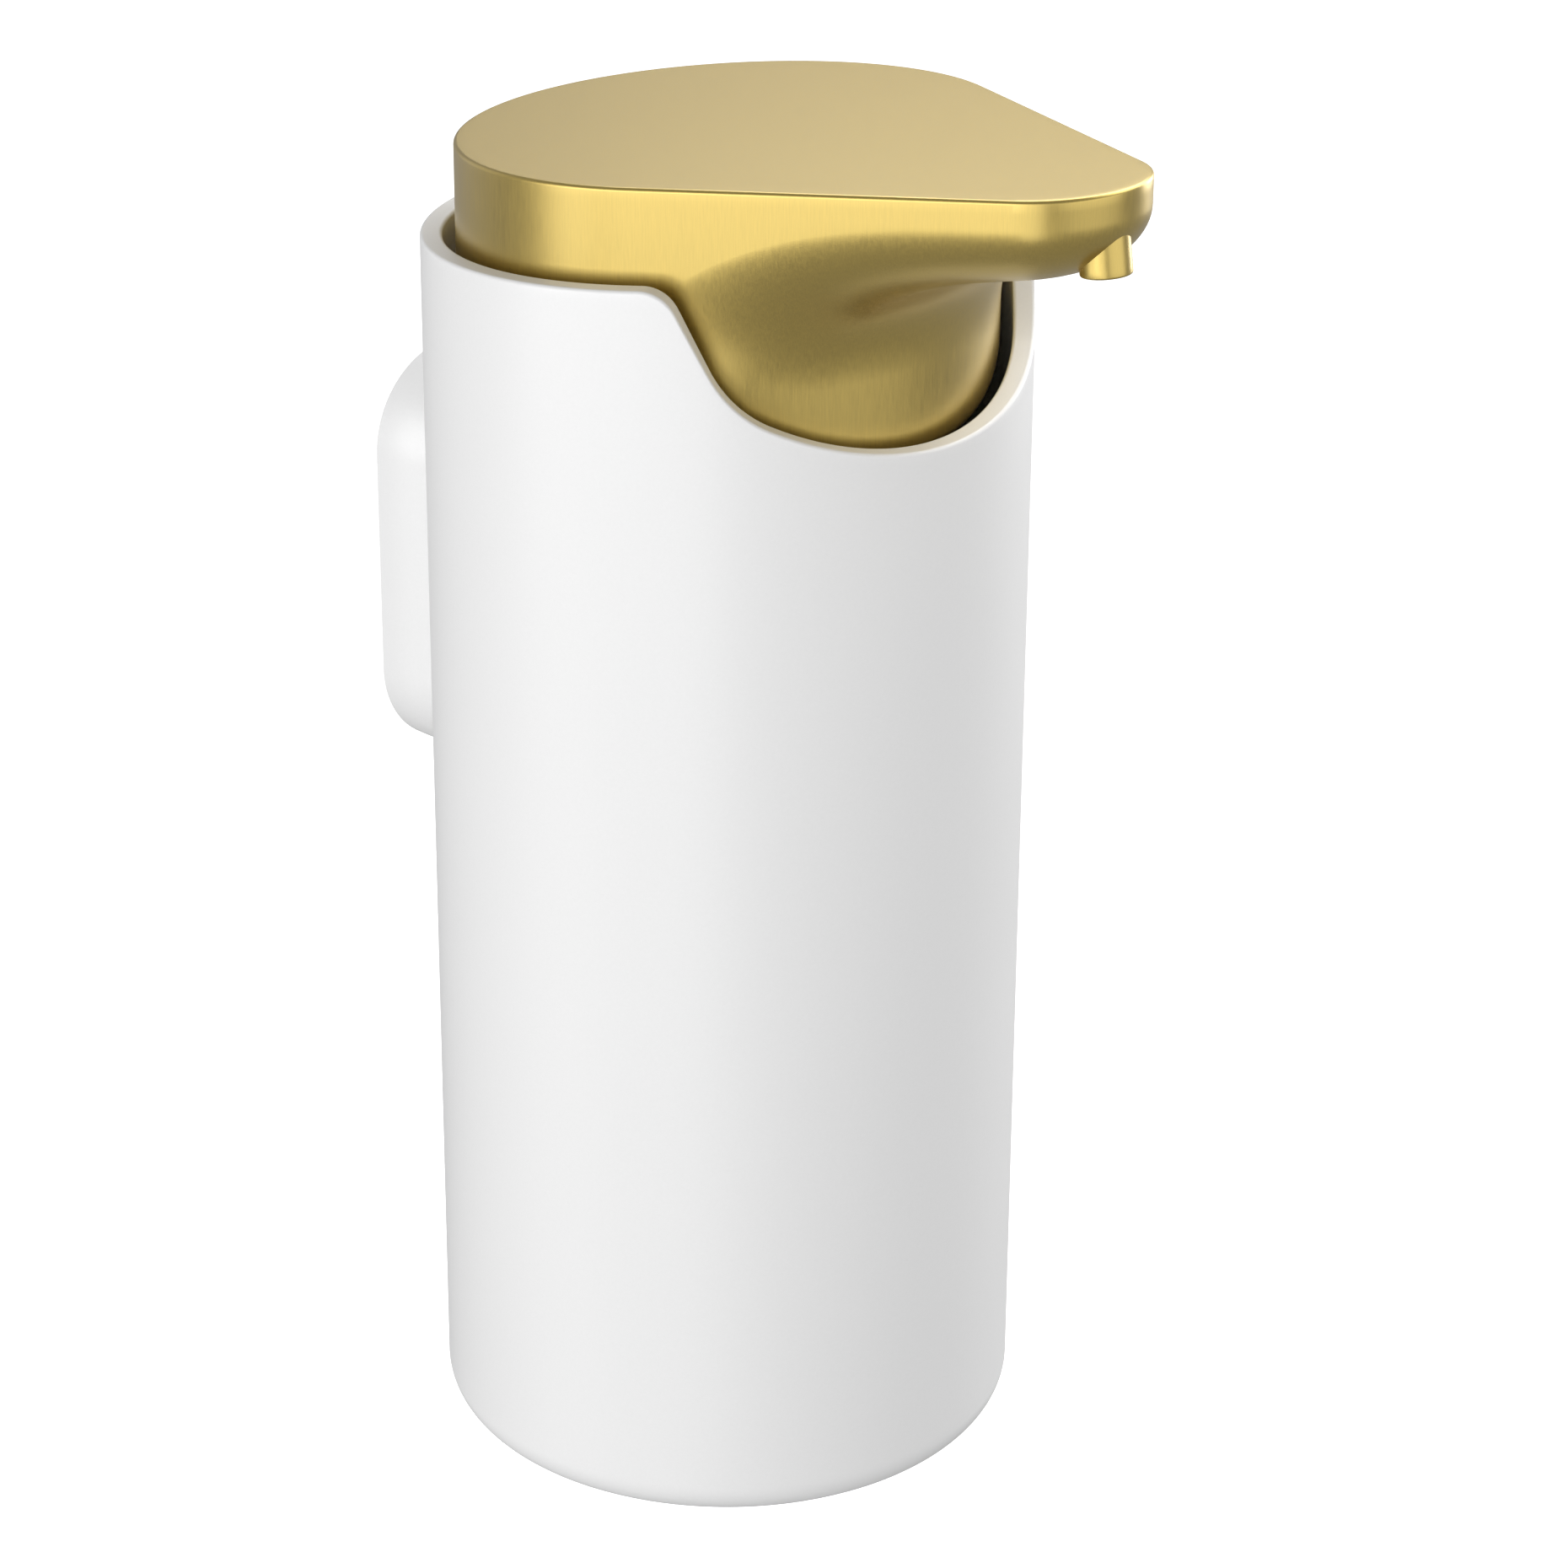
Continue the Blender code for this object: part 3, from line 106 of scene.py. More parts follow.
class CupSizes(bpy.types.PropertyGroup):
    """Sizes of the cup and of the dip in its rim"""

    radius: length("Radius", "Outside radius of the cup", (CUP_HIGH.x - CUP_LOW.x) / 2 / MM)
    wall: length("Wall", "Thickness of the cup's wall", 2.55)
    floor: length("Floor", "Thickness of the cup's floor", 3.0)
    height: length("Height", "Height of the rim where its plane crosses the axis", 152.5)
    slope: ratio("Slope", "Rise of the rim and the head towards the spout", 0.087)
    rim_round: length("Rim Round", "Rounding of the rim's outer and inner edges", 0.45)
    foot_round: length("Foot Round", "Rounding of the lower edge", 4.5)
    inner_round: length("Inner Round", "Rounding inside at the floor", 2.0)
    dip_floor: length("Dip Floor", "Height of the dip's lowest point", 133.6)
    dip_floor_radius: length("Dip Floor Radius", "Radius of the dip's shallow middle", 56.0)
    dip_floor_angle: turn("Dip Floor Angle", "Slope at the ends of the dip's middle", 24)
    dip_corner_radius: length("Dip Corner Radius", "Radius between the dip's middle and its flanks", 14.5)
    dip_flank_angle: turn("Dip Flank Angle", "Slope of the dip's flanks", 62)
    dip_shoulder_radius: length("Dip Shoulder Radius", "Radius from the flanks to the rim", 5.0)
    steps: IntProperty(name="Steps", description="Faces round the cup", default=480, min=48)


class HeadSizes(bpy.types.PropertyGroup):
    """Sizes of the head, its spout and its skirt"""

    radius: length("Radius", "Radius of the head over the cup", (HEAD_HIGH.x - HEAD_LOW.x) / 2 / MM)
    top: length("Top", "Height of the head's top on the axis", 162.9)
    spout_centre: length("Spout Centre", "Distance from the axis to the centre of the round tip", 47.2)
    tip_radius: length("Tip Radius", "Radius of the spout's tip", 11.5)
    tip_thickness: length("Tip Thickness", "Thickness of the spout at its tip", 9.5)
    thickening: ratio("Thickening", "Extra thickness per length back from the tip", 0.1)
    edge_round: length("Edge Round", "Rounding of the top's edge", 0.45)
    edge_depth: length("Edge Depth", "Straight side wall under the top", 3.5)
    spout_round: length("Spout Round", "How far in the underside's rounding reaches", 8.0)
    fillet: length("Fillet", "Height of the sweep from the spout's underside to the skirt", 11.5)
    fillet_reach: length("Fillet Reach", "How far the sweep reaches out from the skirt", 16.0)
    fillet_power: FloatProperty(name="Fillet Power", description="Lower values draw the sweep into its corner",
                                default=0.46, min=0.3, max=1.0, subtype="FACTOR")
    skirt_below_rim: length("Skirt Below Rim", "How far the skirt's edge lies under the cup's rim", 2.1)
    skirt_back: length("Skirt Back", "Height of the skirt's edge at the back", 141.0)
    skirt_round: length("Skirt Round", "Rounding of the skirt's lower edge", 1.4)
    skirt_wall: length("Skirt Wall", "Thickness of the skirt", 2.1)
    ceiling: length("Ceiling", "Thickness of the head's top", 2.5)


class NozzleSizes(bpy.types.PropertyGroup):
    """Sizes of the nozzle under the spout"""

    radius: length("Radius", "Outside radius of the nozzle", 2.85)
    bore: length("Bore", "Radius of the nozzle's opening", 1.7)
    length: length("Length", "Length of the nozzle", 4.6)
    reach: length("Reach", "Distance from the axis to the centre of the nozzle's lower end", 56.2)
    end: length("End", "Height of the nozzle's lower end", 158.1)
    tilt: turn("Tilt", "Lean of the nozzle from upright", 8)
    edge: length("Edge", "Rounding of the nozzle's lip", 0.25)
    root: length("Root", "Solid end of the nozzle inside the spout", 0.7)


class BracketSizes(bpy.types.PropertyGroup):
    """Sizes of the wall bracket"""

    corner: length("Corner", "Radius of the bracket's corners", 12.0)
    pillow: length("Pillow", "How far the bracket's rounded side narrows to the front", 5.5)
    crown: length("Crown", "Depth of the bracket's rounded side", 9.5)
    depth: length("Depth", "Depth of the bracket from its back to its flat front", 11.0)
    saddle_gap: length("Saddle Gap", "Gap between the bracket's saddle and the cup", 0.15)
    clearance: length("Clearance", "Room round the plate and the lock screw", 0.4)
    drop: length("Drop", "Room under the plate for lifting the bracket off", 6.4)


class BottleSizes(bpy.types.PropertyGroup):
    """Sizes of the bottle and its closure"""

    wall: length("Wall", "Thickness of the bottle's wall", 1.4)
    shoulder: length("Shoulder", "Height of the shoulder's lower edge", 104.0)
    shoulder_rise: length("Shoulder Rise", "Rise of the shoulder to the neck", 7.0)
    neck: length("Neck", "Outside radius of the neck", 12.0)
    corner: length("Corner", "Rounding of the bottle's edges", 3.0)
    push_up: length("Push Up", "Recess of the bottle's base", 1.0)
    bead: length("Bead", "Height of the thread's bead on the neck", 0.5)
    pitch: length("Pitch", "Distance between the thread's beads", 2.2)
    grooves: IntProperty(name="Grooves", description="Grip grooves round the closure", default=48, min=3)
    groove_depth: length("Groove Depth", "Depth of the grip grooves", 0.38)
    closure_top: length("Closure Top", "Thickness of the closure's top", 2.0)


class SpringSizes(bpy.types.PropertyGroup):
    """Sizes of the return spring"""

    wire: length("Wire", "Radius of the return spring's wire", 0.45)
    turns: IntProperty(name="Turns", description="Turns of the return spring", default=5, min=2)
    travel: length("Travel", "How far the head presses the return spring", 10.0)


class Finishes(bpy.types.PropertyGroup):
    """Colours and roughness of the finishes"""

    coat: colour("Powder Coat", "Colour of the white powder coat", (0.83, 0.83, 0.83))
    coat_roughness: factor("Powder Coat Roughness", "Roughness of the powder coat", 0.38)
    gold: colour("Brushed Gold", "Colour of the brushed gold", (0.560, 0.412, 0.105))
    gold_roughness: factor("Brushed Gold Roughness", "Roughness of the brushed gold", 0.35)
    steel: colour("Steel", "Colour of the stainless steel", (0.56, 0.56, 0.55))
    natural: colour("Natural Plastic", "Colour of the natural plastic", (0.80, 0.81, 0.78))
    black: colour("Black Plastic", "Colour of the black plastic", (0.022, 0.022, 0.023))
    rubber: colour("Rubber", "Colour of the grey rubber", (0.16, 0.16, 0.165))


class Studio(bpy.types.PropertyGroup):
    """Floor, lights and lens"""

    floor: colour("Floor", "Colour of the floor and backdrop", (1.0, 1.0, 1.0))
    floor_drop: length("Floor Drop", "Height of the cup above the floor", 350.0)
    ambient: factor("Ambient", "Brightness of the even light all round", 0.35)
    key: power("Key", "Power of the wide soft light at the left", 1.8)
    broad: power("Broad", "Power of the soft light right of the key", 1.9)
    front: power("Front", "Power of the soft light beside the camera", 1.2)
    fill: power("Fill", "Power of the weak light at the right", 1.95)
    edge: power("Edge", "Power of the light behind at the right", 2.5)
    back: power("Back", "Power of the high light behind", 2.9)
    side: power("Side", "Power of the high light at the right", 2.8)
    rear: power("Rear", "Power of the light behind at the left", 0.3)
    lift: power("Lift", "Power of the low light at the left", 0.15)
    lens: FloatProperty(name="Lens", description="Focal length of the camera", default=108.71,
                        min=1.0, unit="CAMERA")


class DispenserSettings(bpy.types.PropertyGroup):
    """All the settings that the panel shows"""

    cup: PointerProperty(type=CupSizes)
    head: PointerProperty(type=HeadSizes)
    nozzle: PointerProperty(type=NozzleSizes)
    bracket: PointerProperty(type=BracketSizes)
    bottle: PointerProperty(type=BottleSizes)
    spring: PointerProperty(type=SpringSizes)
    finishes: PointerProperty(type=Finishes)
    studio: PointerProperty(type=Studio)


# ---------------------------------------------------------------- meshes

def link_new(name, data):
    """A new object in the scene."""
    obj = bpy.data.objects.new(name, data)
    bpy.context.scene.collection.objects.link(obj)
    return obj


def piece(name, mesh, body, slot, *nodes):
    """Links a mesh, with its slot's finish, as a piece that rides on a body and stands for CAD nodes."""
    mesh.transform(Matrix.Translation(AXIS))
    mesh.name = name
    mesh.materials.clear()
    mesh.materials.append(finish(slot))
    obj = link_new(name, mesh)
    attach(obj, body)
    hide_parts(*nodes)
    return obj


def smooth(mesh, degrees=35):
    """Smooth shading that breaks at edges sharper than an angle."""
    mesh.shade_smooth()
    mesh.set_sharp_from_angle(angle=math.radians(degrees))
    return mesh


def even_shading(obj):
    """Keeps large faces flat in their shading beside small roundings."""
    modifier = obj.modifiers.new("even shading", "WEIGHTED_NORMAL")
    modifier.keep_sharp = True
    modifier.weight = 100
    return obj


def mesh_from(name, build):
    """A mesh that build(work) makes in bmesh, cleaned, with its normals outwards."""
    mesh = bpy.data.meshes.new(name)
    work = bmesh.new()
    build(work)
    bmesh.ops.remove_doubles(work, verts=work.verts, dist=SAME_POINT)
    bmesh.ops.dissolve_degenerate(work, edges=work.edges, dist=SAME_POINT / 2)
    bmesh.ops.recalc_face_normals(work, faces=work.faces)
    work.to_mesh(mesh)
    work.free()
    return smooth(mesh)


def lofted(name, rings, closed=True):
    """Skin over rings of points; a closed one joins its last ring to its first instead of capping them."""
    def build(work):
        loops = [[work.verts.new(point) for point in ring] for ring in rings]
        if closed:
            loops.append(loops[0])
        else:
            work.faces.new(loops[0])
            work.faces.new(loops[-1])
        for upper, lower in zip(loops, loops[1:]):
            for index in range(len(upper)):
                after = (index + 1) % len(upper)
                work.faces.new((upper[index], upper[after], lower[after], lower[index]))
    return mesh_from(name, build)


def turned(name, profile, steps=128, closed=True):
    """A profile of (radius, height) points turned about the axis."""
    turns = [(math.cos(a), math.sin(a)) for a in (2 * math.pi * step / steps for step in range(steps))]
    return lofted(name, [[(r * x, r * y, z) for x, y in turns] for r, z in profile], closed)


def arc(centre, radius, start, end, steps):
    """Points of an arc in the (radius, height) plane, from one angle to another in degrees."""
    points = []
    for step in range(steps + 1):
        angle = math.radians(start + (end - start) * step / steps)
        points.append((centre[0] + radius * math.cos(angle), centre[1] + radius * math.sin(angle)))
    return points


def carved(mesh, *cutters):
    """The mesh with the cutters' shapes taken out of it."""
    body = link_new("carved", mesh)
    tools = [link_new("cutter", tool) for tool in cutters]
    for tool in tools:
        modifier = body.modifiers.new("carve", "BOOLEAN")
        modifier.operation = "DIFFERENCE"
        modifier.solver = "EXACT"
        modifier.object = tool
    bpy.context.view_layer.update()
    shown = body.evaluated_get(bpy.context.evaluated_depsgraph_get())
    result = bpy.data.meshes.new_from_object(shown)
    for obj in (body, *tools):
        bpy.data.objects.remove(obj, do_unlink=True)
    return result


def rod(radius, start, end, steps=64):
    """A plain cylinder between two points, for carving."""
    start, end = Vector(start), Vector(end)
    run = end - start

    def build(work):
        made = bmesh.ops.create_cone(work, cap_ends=True, segments=steps, radius1=radius, radius2=radius,
                                     depth=run.length)
        spin = Vector((0, 0, 1)).rotation_difference(run).to_matrix().to_4x4()
        bmesh.ops.transform(work, matrix=Matrix.Translation((start + end) / 2) @ spin, verts=made["verts"])
    return mesh_from("rod", build)


def box_mesh(low, high):
    """A block between two corners, for carving."""
    low, high = Vector(low), Vector(high)

    def build(work):
        made = bmesh.ops.create_cube(work, size=1.0)
        bmesh.ops.scale(work, vec=high - low, verts=made["verts"])
        bmesh.ops.translate(work, vec=(low + high) / 2, verts=made["verts"])
    return mesh_from("block", build)


# ---------------------------------------------------------------- cup

def rim_plane(cup, radius, angle):
    """Height of the sloping rim, at an angle from the spout's direction."""
    return cup.height + cup.slope * radius * math.cos(angle)


def dip_height(cup, along, top):
    """Height of the dip's edge at an arc length from its middle: floor, corner, flank, shoulder."""
    along = abs(along)
    floor_end = cup.dip_floor_radius * math.sin(cup.dip_floor_angle)
    if along <= floor_end:
        return cup.dip_floor + cup.dip_floor_radius - math.sqrt(cup.dip_floor_radius ** 2 - along ** 2)
    corner = cup.dip_corner_radius
    height = cup.dip_floor + cup.dip_floor_radius * (1 - math.cos(cup.dip_floor_angle))
    centre = floor_end - corner * math.sin(cup.dip_floor_angle)
    corner_end = centre + corner * math.sin(cup.dip_flank_angle)
    level = height + corner * math.cos(cup.dip_floor_angle)
    if along <= corner_end:
        return level - math.sqrt(corner ** 2 - (along - centre) ** 2)
    shoulder, rise = cup.dip_shoulder_radius, math.tan(cup.dip_flank_angle)
    height = level - corner * math.cos(cup.dip_flank_angle)
    shoulder_foot = top - shoulder * (1 - math.cos(cup.dip_flank_angle))
    shoulder_start = corner_end + (shoulder_foot - height) / rise
    if along <= shoulder_start:
        return height + (along - corner_end) * rise
    shoulder_end = shoulder_start + shoulder * math.sin(cup.dip_flank_angle)
    if along >= shoulder_end:
        return top
    return top - shoulder + math.sqrt(shoulder ** 2 - (shoulder_end - along) ** 2)


def rim_height(cup, angle):
    """Height of the cup's rim at an angle from the spout's direction."""
    angle = math.atan2(math.sin(angle), math.cos(angle))
    top = rim_plane(cup, cup.radius, angle)
    return min(top, dip_height(cup, cup.radius * angle, top))


def cup_profile(cup):
    """The cup's section from the middle of its floor up the inside, over the rim and down the outside.

    A point is (radius, height, share), where share is how far it follows the rim's height."""
    inner = cup.radius - cup.wall
    edge = cup.rim_round
    middle, halfway = 0.5 * MM, 0.6 * cup.radius
    inside = [(middle, cup.floor), (halfway, cup.floor)]
    inside += arc((inner - cup.inner_round, cup.floor + cup.inner_round), cup.inner_round, -90, 0, 8)
    rim = [(inner, -3 * edge)]
    rim += arc((inner + edge, -edge), edge, 180, 90, 6)
    rim += arc((cup.radius - edge, -edge), edge, 90, 0, 6)
    rim += [(cup.radius, -3 * edge)]
    outside = [(cup.radius, cup.foot_round + 2 * MM)]
    outside += arc((cup.radius - cup.foot_round, cup.foot_round), cup.foot_round, 0, -90, 14)
    outside += [(halfway, 0.0), (middle, 0.0)]
    parts = ((inside, 0), (rim, 1), (outside, 0))
    return [(radius, height, share) for points, share in parts for radius, height in points]


def cup_mesh(cup):
    """The cup, turned about its axis, with its upper edge lifted to the rim and its dip."""
    angles = [2 * math.pi * step / cup.steps for step in range(cup.steps)]
    rims = [(math.sin(angle), -math.cos(angle), rim_height(cup, angle)) for angle in angles]
    return lofted("cup", [
        [(radius * x, radius * y, height + share * rim) for x, y, rim in rims]
        for radius, height, share in cup_profile(cup)
    ], closed=False)


# ---------------------------------------------------------------- head

def head_plane(cup, head, forward):
    """Height of the head's top at a distance from the axis towards the spout."""
    return head.top + cup.slope * forward


def inside_outline(head, x, forward):
    """How far a point lies inside the head's teardrop outline."""
    x = abs(x)
    lean = (head.radius - head.tip_radius) / head.spout_centre
    run = math.sqrt(1 - lean ** 2)
    along = -lean * x + run * forward
    if along < 0:
        return head.radius - math.hypot(x, forward)
    if along > run * head.spout_centre:
        return head.tip_radius - math.hypot(x, forward - head.spout_centre)
    return head.radius - run * x - lean * forward


def underside_depth(head, x, forward):
    """How far the head's lower surface lies under its top, outside the skirt."""
    inside = max(inside_outline(head, x, forward), 0.0)
    reach = head.spout_centre + head.tip_radius
    thickness = head.tip_thickness + head.thickening * (reach - forward)
    share = max(1 - inside / head.spout_round, 0.0)
    depth = head.edge_depth + (thickness - head.edge_depth) * math.sqrt(max(1 - share ** 2, 0.0))
    outside = max(math.hypot(x, forward) - head.radius, 0.0)
    power = head.fillet_power
    share = max(1 - (outside / head.fillet_reach) ** power, 0.0)
    depth += head.fillet * share ** (1 / power)
    return depth


def head_outline(head, back_steps=220, side_steps=60, tip_steps=90):
    """The teardrop outline as (x, forward, outward x, outward forward), from the back round to the back."""
    tangent = math.acos((head.radius - head.tip_radius) / head.spout_centre)
    half = []
    for step in range(back_steps // 2):
        angle = math.pi - (math.pi - tangent) * step / (back_steps // 2)
        x, f = math.sin(angle), math.cos(angle)
        half.append((head.radius * x, head.radius * f, x, f))
    nx, nf = math.sin(tangent), math.cos(tangent)
    start = Vector((head.radius * nx, head.radius * nf))
    end = Vector((head.tip_radius * nx, head.spout_centre + head.tip_radius * nf))
    for step in range(side_steps):
        point = start.lerp(end, step / side_steps)
        half.append((point.x, point.y, nx, nf))
    for step in range(tip_steps // 2 + 1):
        angle = tangent * (1 - step / (tip_steps // 2))
        x, f = math.sin(angle), math.cos(angle)
        half.append((head.tip_radius * x, head.spout_centre + head.tip_radius * f, x, f))
    return half + [(-x, f, -a, b) for x, f, a, b in reversed(half[1:-1])]


def underside_point(cup, head, x, forward, share):
    """A point of the lower surface, a share of the way in from the outline to the skirt."""
    reach = math.hypot(x, forward)
    scale = 1 + (head.radius / reach - 1) * share
    x, forward = x * scale, forward * scale
    if reach - head.radius < SAME_POINT / 4:
        depth = head.edge_depth + head.fillet * share
    else:
        depth = underside_depth(head, x, forward)
    return x, -forward, head_plane(cup, head, forward) - depth


def top_steps(head, steps=5):
    """(inset, depth) from the flat top over its rounded edge and down the side wall."""
    edge = head.edge_round
    points = [(3 * edge, 0.0)]
    for step in range(steps + 1):
        angle = math.radians(90 * step / steps)
        points.append((edge * (1 - math.sin(angle)), edge * (1 - math.cos(angle))))
    return points + [(0.0, 0.4 * head.edge_depth), (0.0, 0.9 * head.edge_depth)]


def head_mesh(cup, head, spans=44):
    """Teardrop head: top, rounded edge, spout's underside, skirt and its hollow, as one skin."""
    outline = head_outline(head)
    rings = []
    for inset, depth in top_steps(head):
        rings.append([
            (x - a * inset, -(f - b * inset), head_plane(cup, head, f - b * inset) - depth)
            for x, f, a, b in outline
        ])
    for step in range(spans + 1):
        share = (1 - math.cos(math.pi * step / spans)) / 2
        rings.append([underside_point(cup, head, x, f, share) for x, f, _, _ in outline])

    skirt = []
    for x, forward, _, _ in outline:
        angle = math.atan2(x, forward)
        foot = min(rim_height(cup, angle) - head.skirt_below_rim, head.skirt_back)
        skirt.append((math.sin(angle), math.cos(angle), foot))
    section = [(head.radius, 2 * head.skirt_round)]
    section += arc((head.radius - head.skirt_round, head.skirt_round), head.skirt_round, 0, -90, 10)
    inner = head.radius - head.skirt_wall
    section += [(inner, 0.2 * MM)]
    for radius, lift in section:
        rings.append([(radius * x, -radius * f, foot + lift) for x, f, foot in skirt])
    rings.append([(inner * x, -inner * f, head_plane(cup, head, inner * f) - head.ceiling) for x, f, _ in skirt])
    return lofted("head", rings, closed=False)


def nozzle_mesh(nozzle):
    """Short tube with a rounded lip and a bore."""
    edge = nozzle.edge
    profile = [(nozzle.radius, nozzle.length), (nozzle.radius, 3 * edge)]
    profile += arc((nozzle.radius - edge, edge), edge, 0, -90, 5)
    profile += arc((nozzle.bore + edge, edge), edge, -90, -180, 5)
    profile += [(nozzle.bore, 3 * edge), (nozzle.bore, nozzle.length - nozzle.root)]
    mesh = turned("nozzle", profile, steps=96, closed=False)
    lean = Matrix.Rotation(-nozzle.tilt, 4, "X")
    mesh.transform(Matrix.Translation((0, -nozzle.reach, nozzle.end)) @ lean)
    return mesh


# ---------------------------------------------------------------- bracket

def bracket_mesh(bracket, cup, steps=14):
    """Pillow shaped bracket with a saddle for the cup, a pocket for the plate and a lock screw hole."""
    width = BRACKET_HIGH.x - BRACKET_LOW.x
    height = BRACKET_HIGH.z - BRACKET_LOW.z
    middle = (BRACKET_HIGH.z + BRACKET_LOW.z) / 2 - AXIS.z
    back = BRACKET_HIGH.y - AXIS.y
    levels = [(0.0, back)]
    for step in range(steps + 1):
        angle = math.radians(90 * step / steps)
        levels.append((bracket.pillow * (1 - math.cos(angle)),
                       back - bracket.depth + bracket.crown * (1 - math.sin(angle))))
    rings = []
    for inset, y in levels:
        outline = rounded_rectangle(width / 2 - inset, height / 2 - inset, bracket.corner - inset)
        rings.append([(x, y, middle + z) for x, z in outline])
    block = lofted("bracket", rings, closed=False)

    gap = bracket.clearance
    saddle = rod(cup.radius + bracket.saddle_gap, (0, 0, middle - height), (0, 0, middle + height), steps=360)
    plate_low, plate_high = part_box("wall_plate")
    pocket = box_mesh(
        (plate_low.x - gap, plate_low.y - AXIS.y - gap, plate_low.z - AXIS.z - bracket.drop),
        (plate_high.x + gap, back + MM, plate_high.z - AXIS.z + gap),
    )
    lock_low, lock_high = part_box("lock_screw")
    lock_y = (lock_low.y + lock_high.y) / 2 - AXIS.y
    hole = rod((lock_high.x - lock_low.x) / 2 + gap, (0, lock_y, middle - height),
               (0, lock_y, lock_high.z - AXIS.z + MM))
    return smooth(carved(block, saddle, pocket, hole), 30)


def rounded_rectangle(half_x, half_z, corner, steps=20):
    """Points round a rectangle with rounded corners."""
    points = []
    for side_x, side_z, start in ((1, 1, 0), (-1, 1, 90), (-1, -1, 180), (1, -1, 270)):
        centre = (side_x * (half_x - corner), side_z * (half_z - corner))
        points += arc(centre, corner, start, start + 90, steps)
    return points


# ---------------------------------------------------------------- bottle, closure and spring

def bottle_mesh(bottle, dome_steps=9):
    """Blown bottle: recessed base, rounded edges, sloping shoulder and a threaded neck."""
    radius = (BOTTLE_HIGH.x - BOTTLE_LOW.x) / 2
    foot = BOTTLE_LOW.z - AXIS.z
    top = BOTTLE_HIGH.z - AXIS.z
    corner, wall, neck, push_up = bottle.corner, bottle.wall, bottle.neck, bottle.push_up
    shoulder_top = bottle.shoulder + bottle.shoulder_rise
    middle = 0.4 * MM

    outside = [(middle, foot + push_up), (0.55 * radius, foot + push_up)]
    outside += [(radius - 2.2 * corner, foot + 0.8 * push_up), (radius - 1.6 * corner, foot + 0.15 * push_up)]
    outside += arc((radius - corner, foot + corner), corner, -90, 0, 10)
    outside += arc((radius - corner, bottle.shoulder - corner), corner, 0, 62, 8)
    knee_radius, knee_height = outside[-1]
    root_radius, root_height = neck + 1.4 * MM, shoulder_top - 0.9 * MM
    for step in range(1, dome_steps):
        share = step / dome_steps
        outside.append((knee_radius + (root_radius - knee_radius) * share,
                        knee_height + (root_height - knee_height) * math.sin(share * math.pi / 2)))
    root_fillet = 1.3 * MM
    outside += arc((neck + root_fillet, shoulder_top + 1.0 * MM), root_fillet, 265, 180, 5)
    bead = bottle.bead
    for turns_down in (2, 1, 0):
        height = top - 3.2 * MM - turns_down * bottle.pitch
        outside += [(neck, height - bead), (neck + bead, height - 0.4 * bead),
                    (neck + bead, height + 0.4 * bead), (neck, height + bead)]
    lip = 0.3 * MM
    outside += arc((neck - lip, top - lip), lip, 0, 90, 3)

    inside = [
        (neck - wall, top), (neck - wall, shoulder_top - wall),
        (radius - corner - wall, bottle.shoulder - wall), (radius - wall, bottle.shoulder - corner - wall),
        (radius - wall, foot + corner + wall), (radius - corner - wall, foot + push_up + wall),
        (middle, foot + push_up + wall),
    ]
    return turned("bottle", outside + inside, steps=160)


def collar_mesh(bottle, steps_per_groove=6):
    """Screw closure with rounded grip grooves."""
    radius = (COLLAR_HIGH.x - COLLAR_LOW.x) / 2
    low, high = COLLAR_LOW.z - AXIS.z, COLLAR_HIGH.z - AXIS.z
    hole = (CAP_HIGH.x - CAP_LOW.x) / 2 - 2.0 * MM
    inner = bottle.neck + 1.0 * MM
    under_top = high - bottle.closure_top
    edge = 0.7 * MM
    profile = [(hole, high), (radius - edge - 0.8 * MM, high)]
    profile += arc((radius - edge, high - edge), edge, 90, 0, 5)
    profile += [(radius, high - 1.4 * MM), (radius, low + 1.2 * MM), (radius, low + 0.7 * MM),
                (radius - 0.15 * MM, low), (inner, low), (inner, under_top), (hole, under_top)]
    steps = bottle.grooves * steps_per_groove
    rings = []
    for r, z in profile:
        grooved = low + 0.8 * MM < z < high - 1.0 * MM and r > inner + 0.5 * MM
        ring = []
        for step in range(steps):
            angle = 2 * math.pi * step / steps
            depth = bottle.groove_depth * max(0.0, math.cos(angle * bottle.grooves)) if grooved else 0.0
            ring.append(((r - depth) * math.cos(angle), (r - depth) * math.sin(angle), z))
        rings.append(ring)
    return lofted("collar", rings)


def cap_mesh():
    """Cap round the stem, with a stepped top and a sleeve into the barrel."""
    rim = (CAP_HIGH.x - CAP_LOW.x) / 2
    low, high = CAP_LOW.z - AXIS.z, CAP_HIGH.z - AXIS.z
    inner = (STEM_HIGH.x - STEM_LOW.x) / 2 + 0.25 * MM
    sleeve = 6.55 * MM
    collar = 2.0 * MM
    collar_edge, rim_edge, step_down = 0.2 * MM, 0.6 * MM, 0.5 * MM
    profile = [(inner + 0.3 * MM, high)]
    profile += arc((inner + collar, high - collar_edge), collar_edge, 90, 0, 3)
    profile += [(inner + collar + collar_edge, high - step_down), (rim - 1.6 * MM, high - step_down)]
    profile += arc((rim - rim_edge, high - step_down - rim_edge), rim_edge, 90, 0, 5)
    profile += [(rim, high - 2.0 * MM), (sleeve, high - 2.0 * MM), (sleeve, low), (inner, low),
                (inner, high - 0.3 * MM)]
    return turned("cap", profile, steps=96)


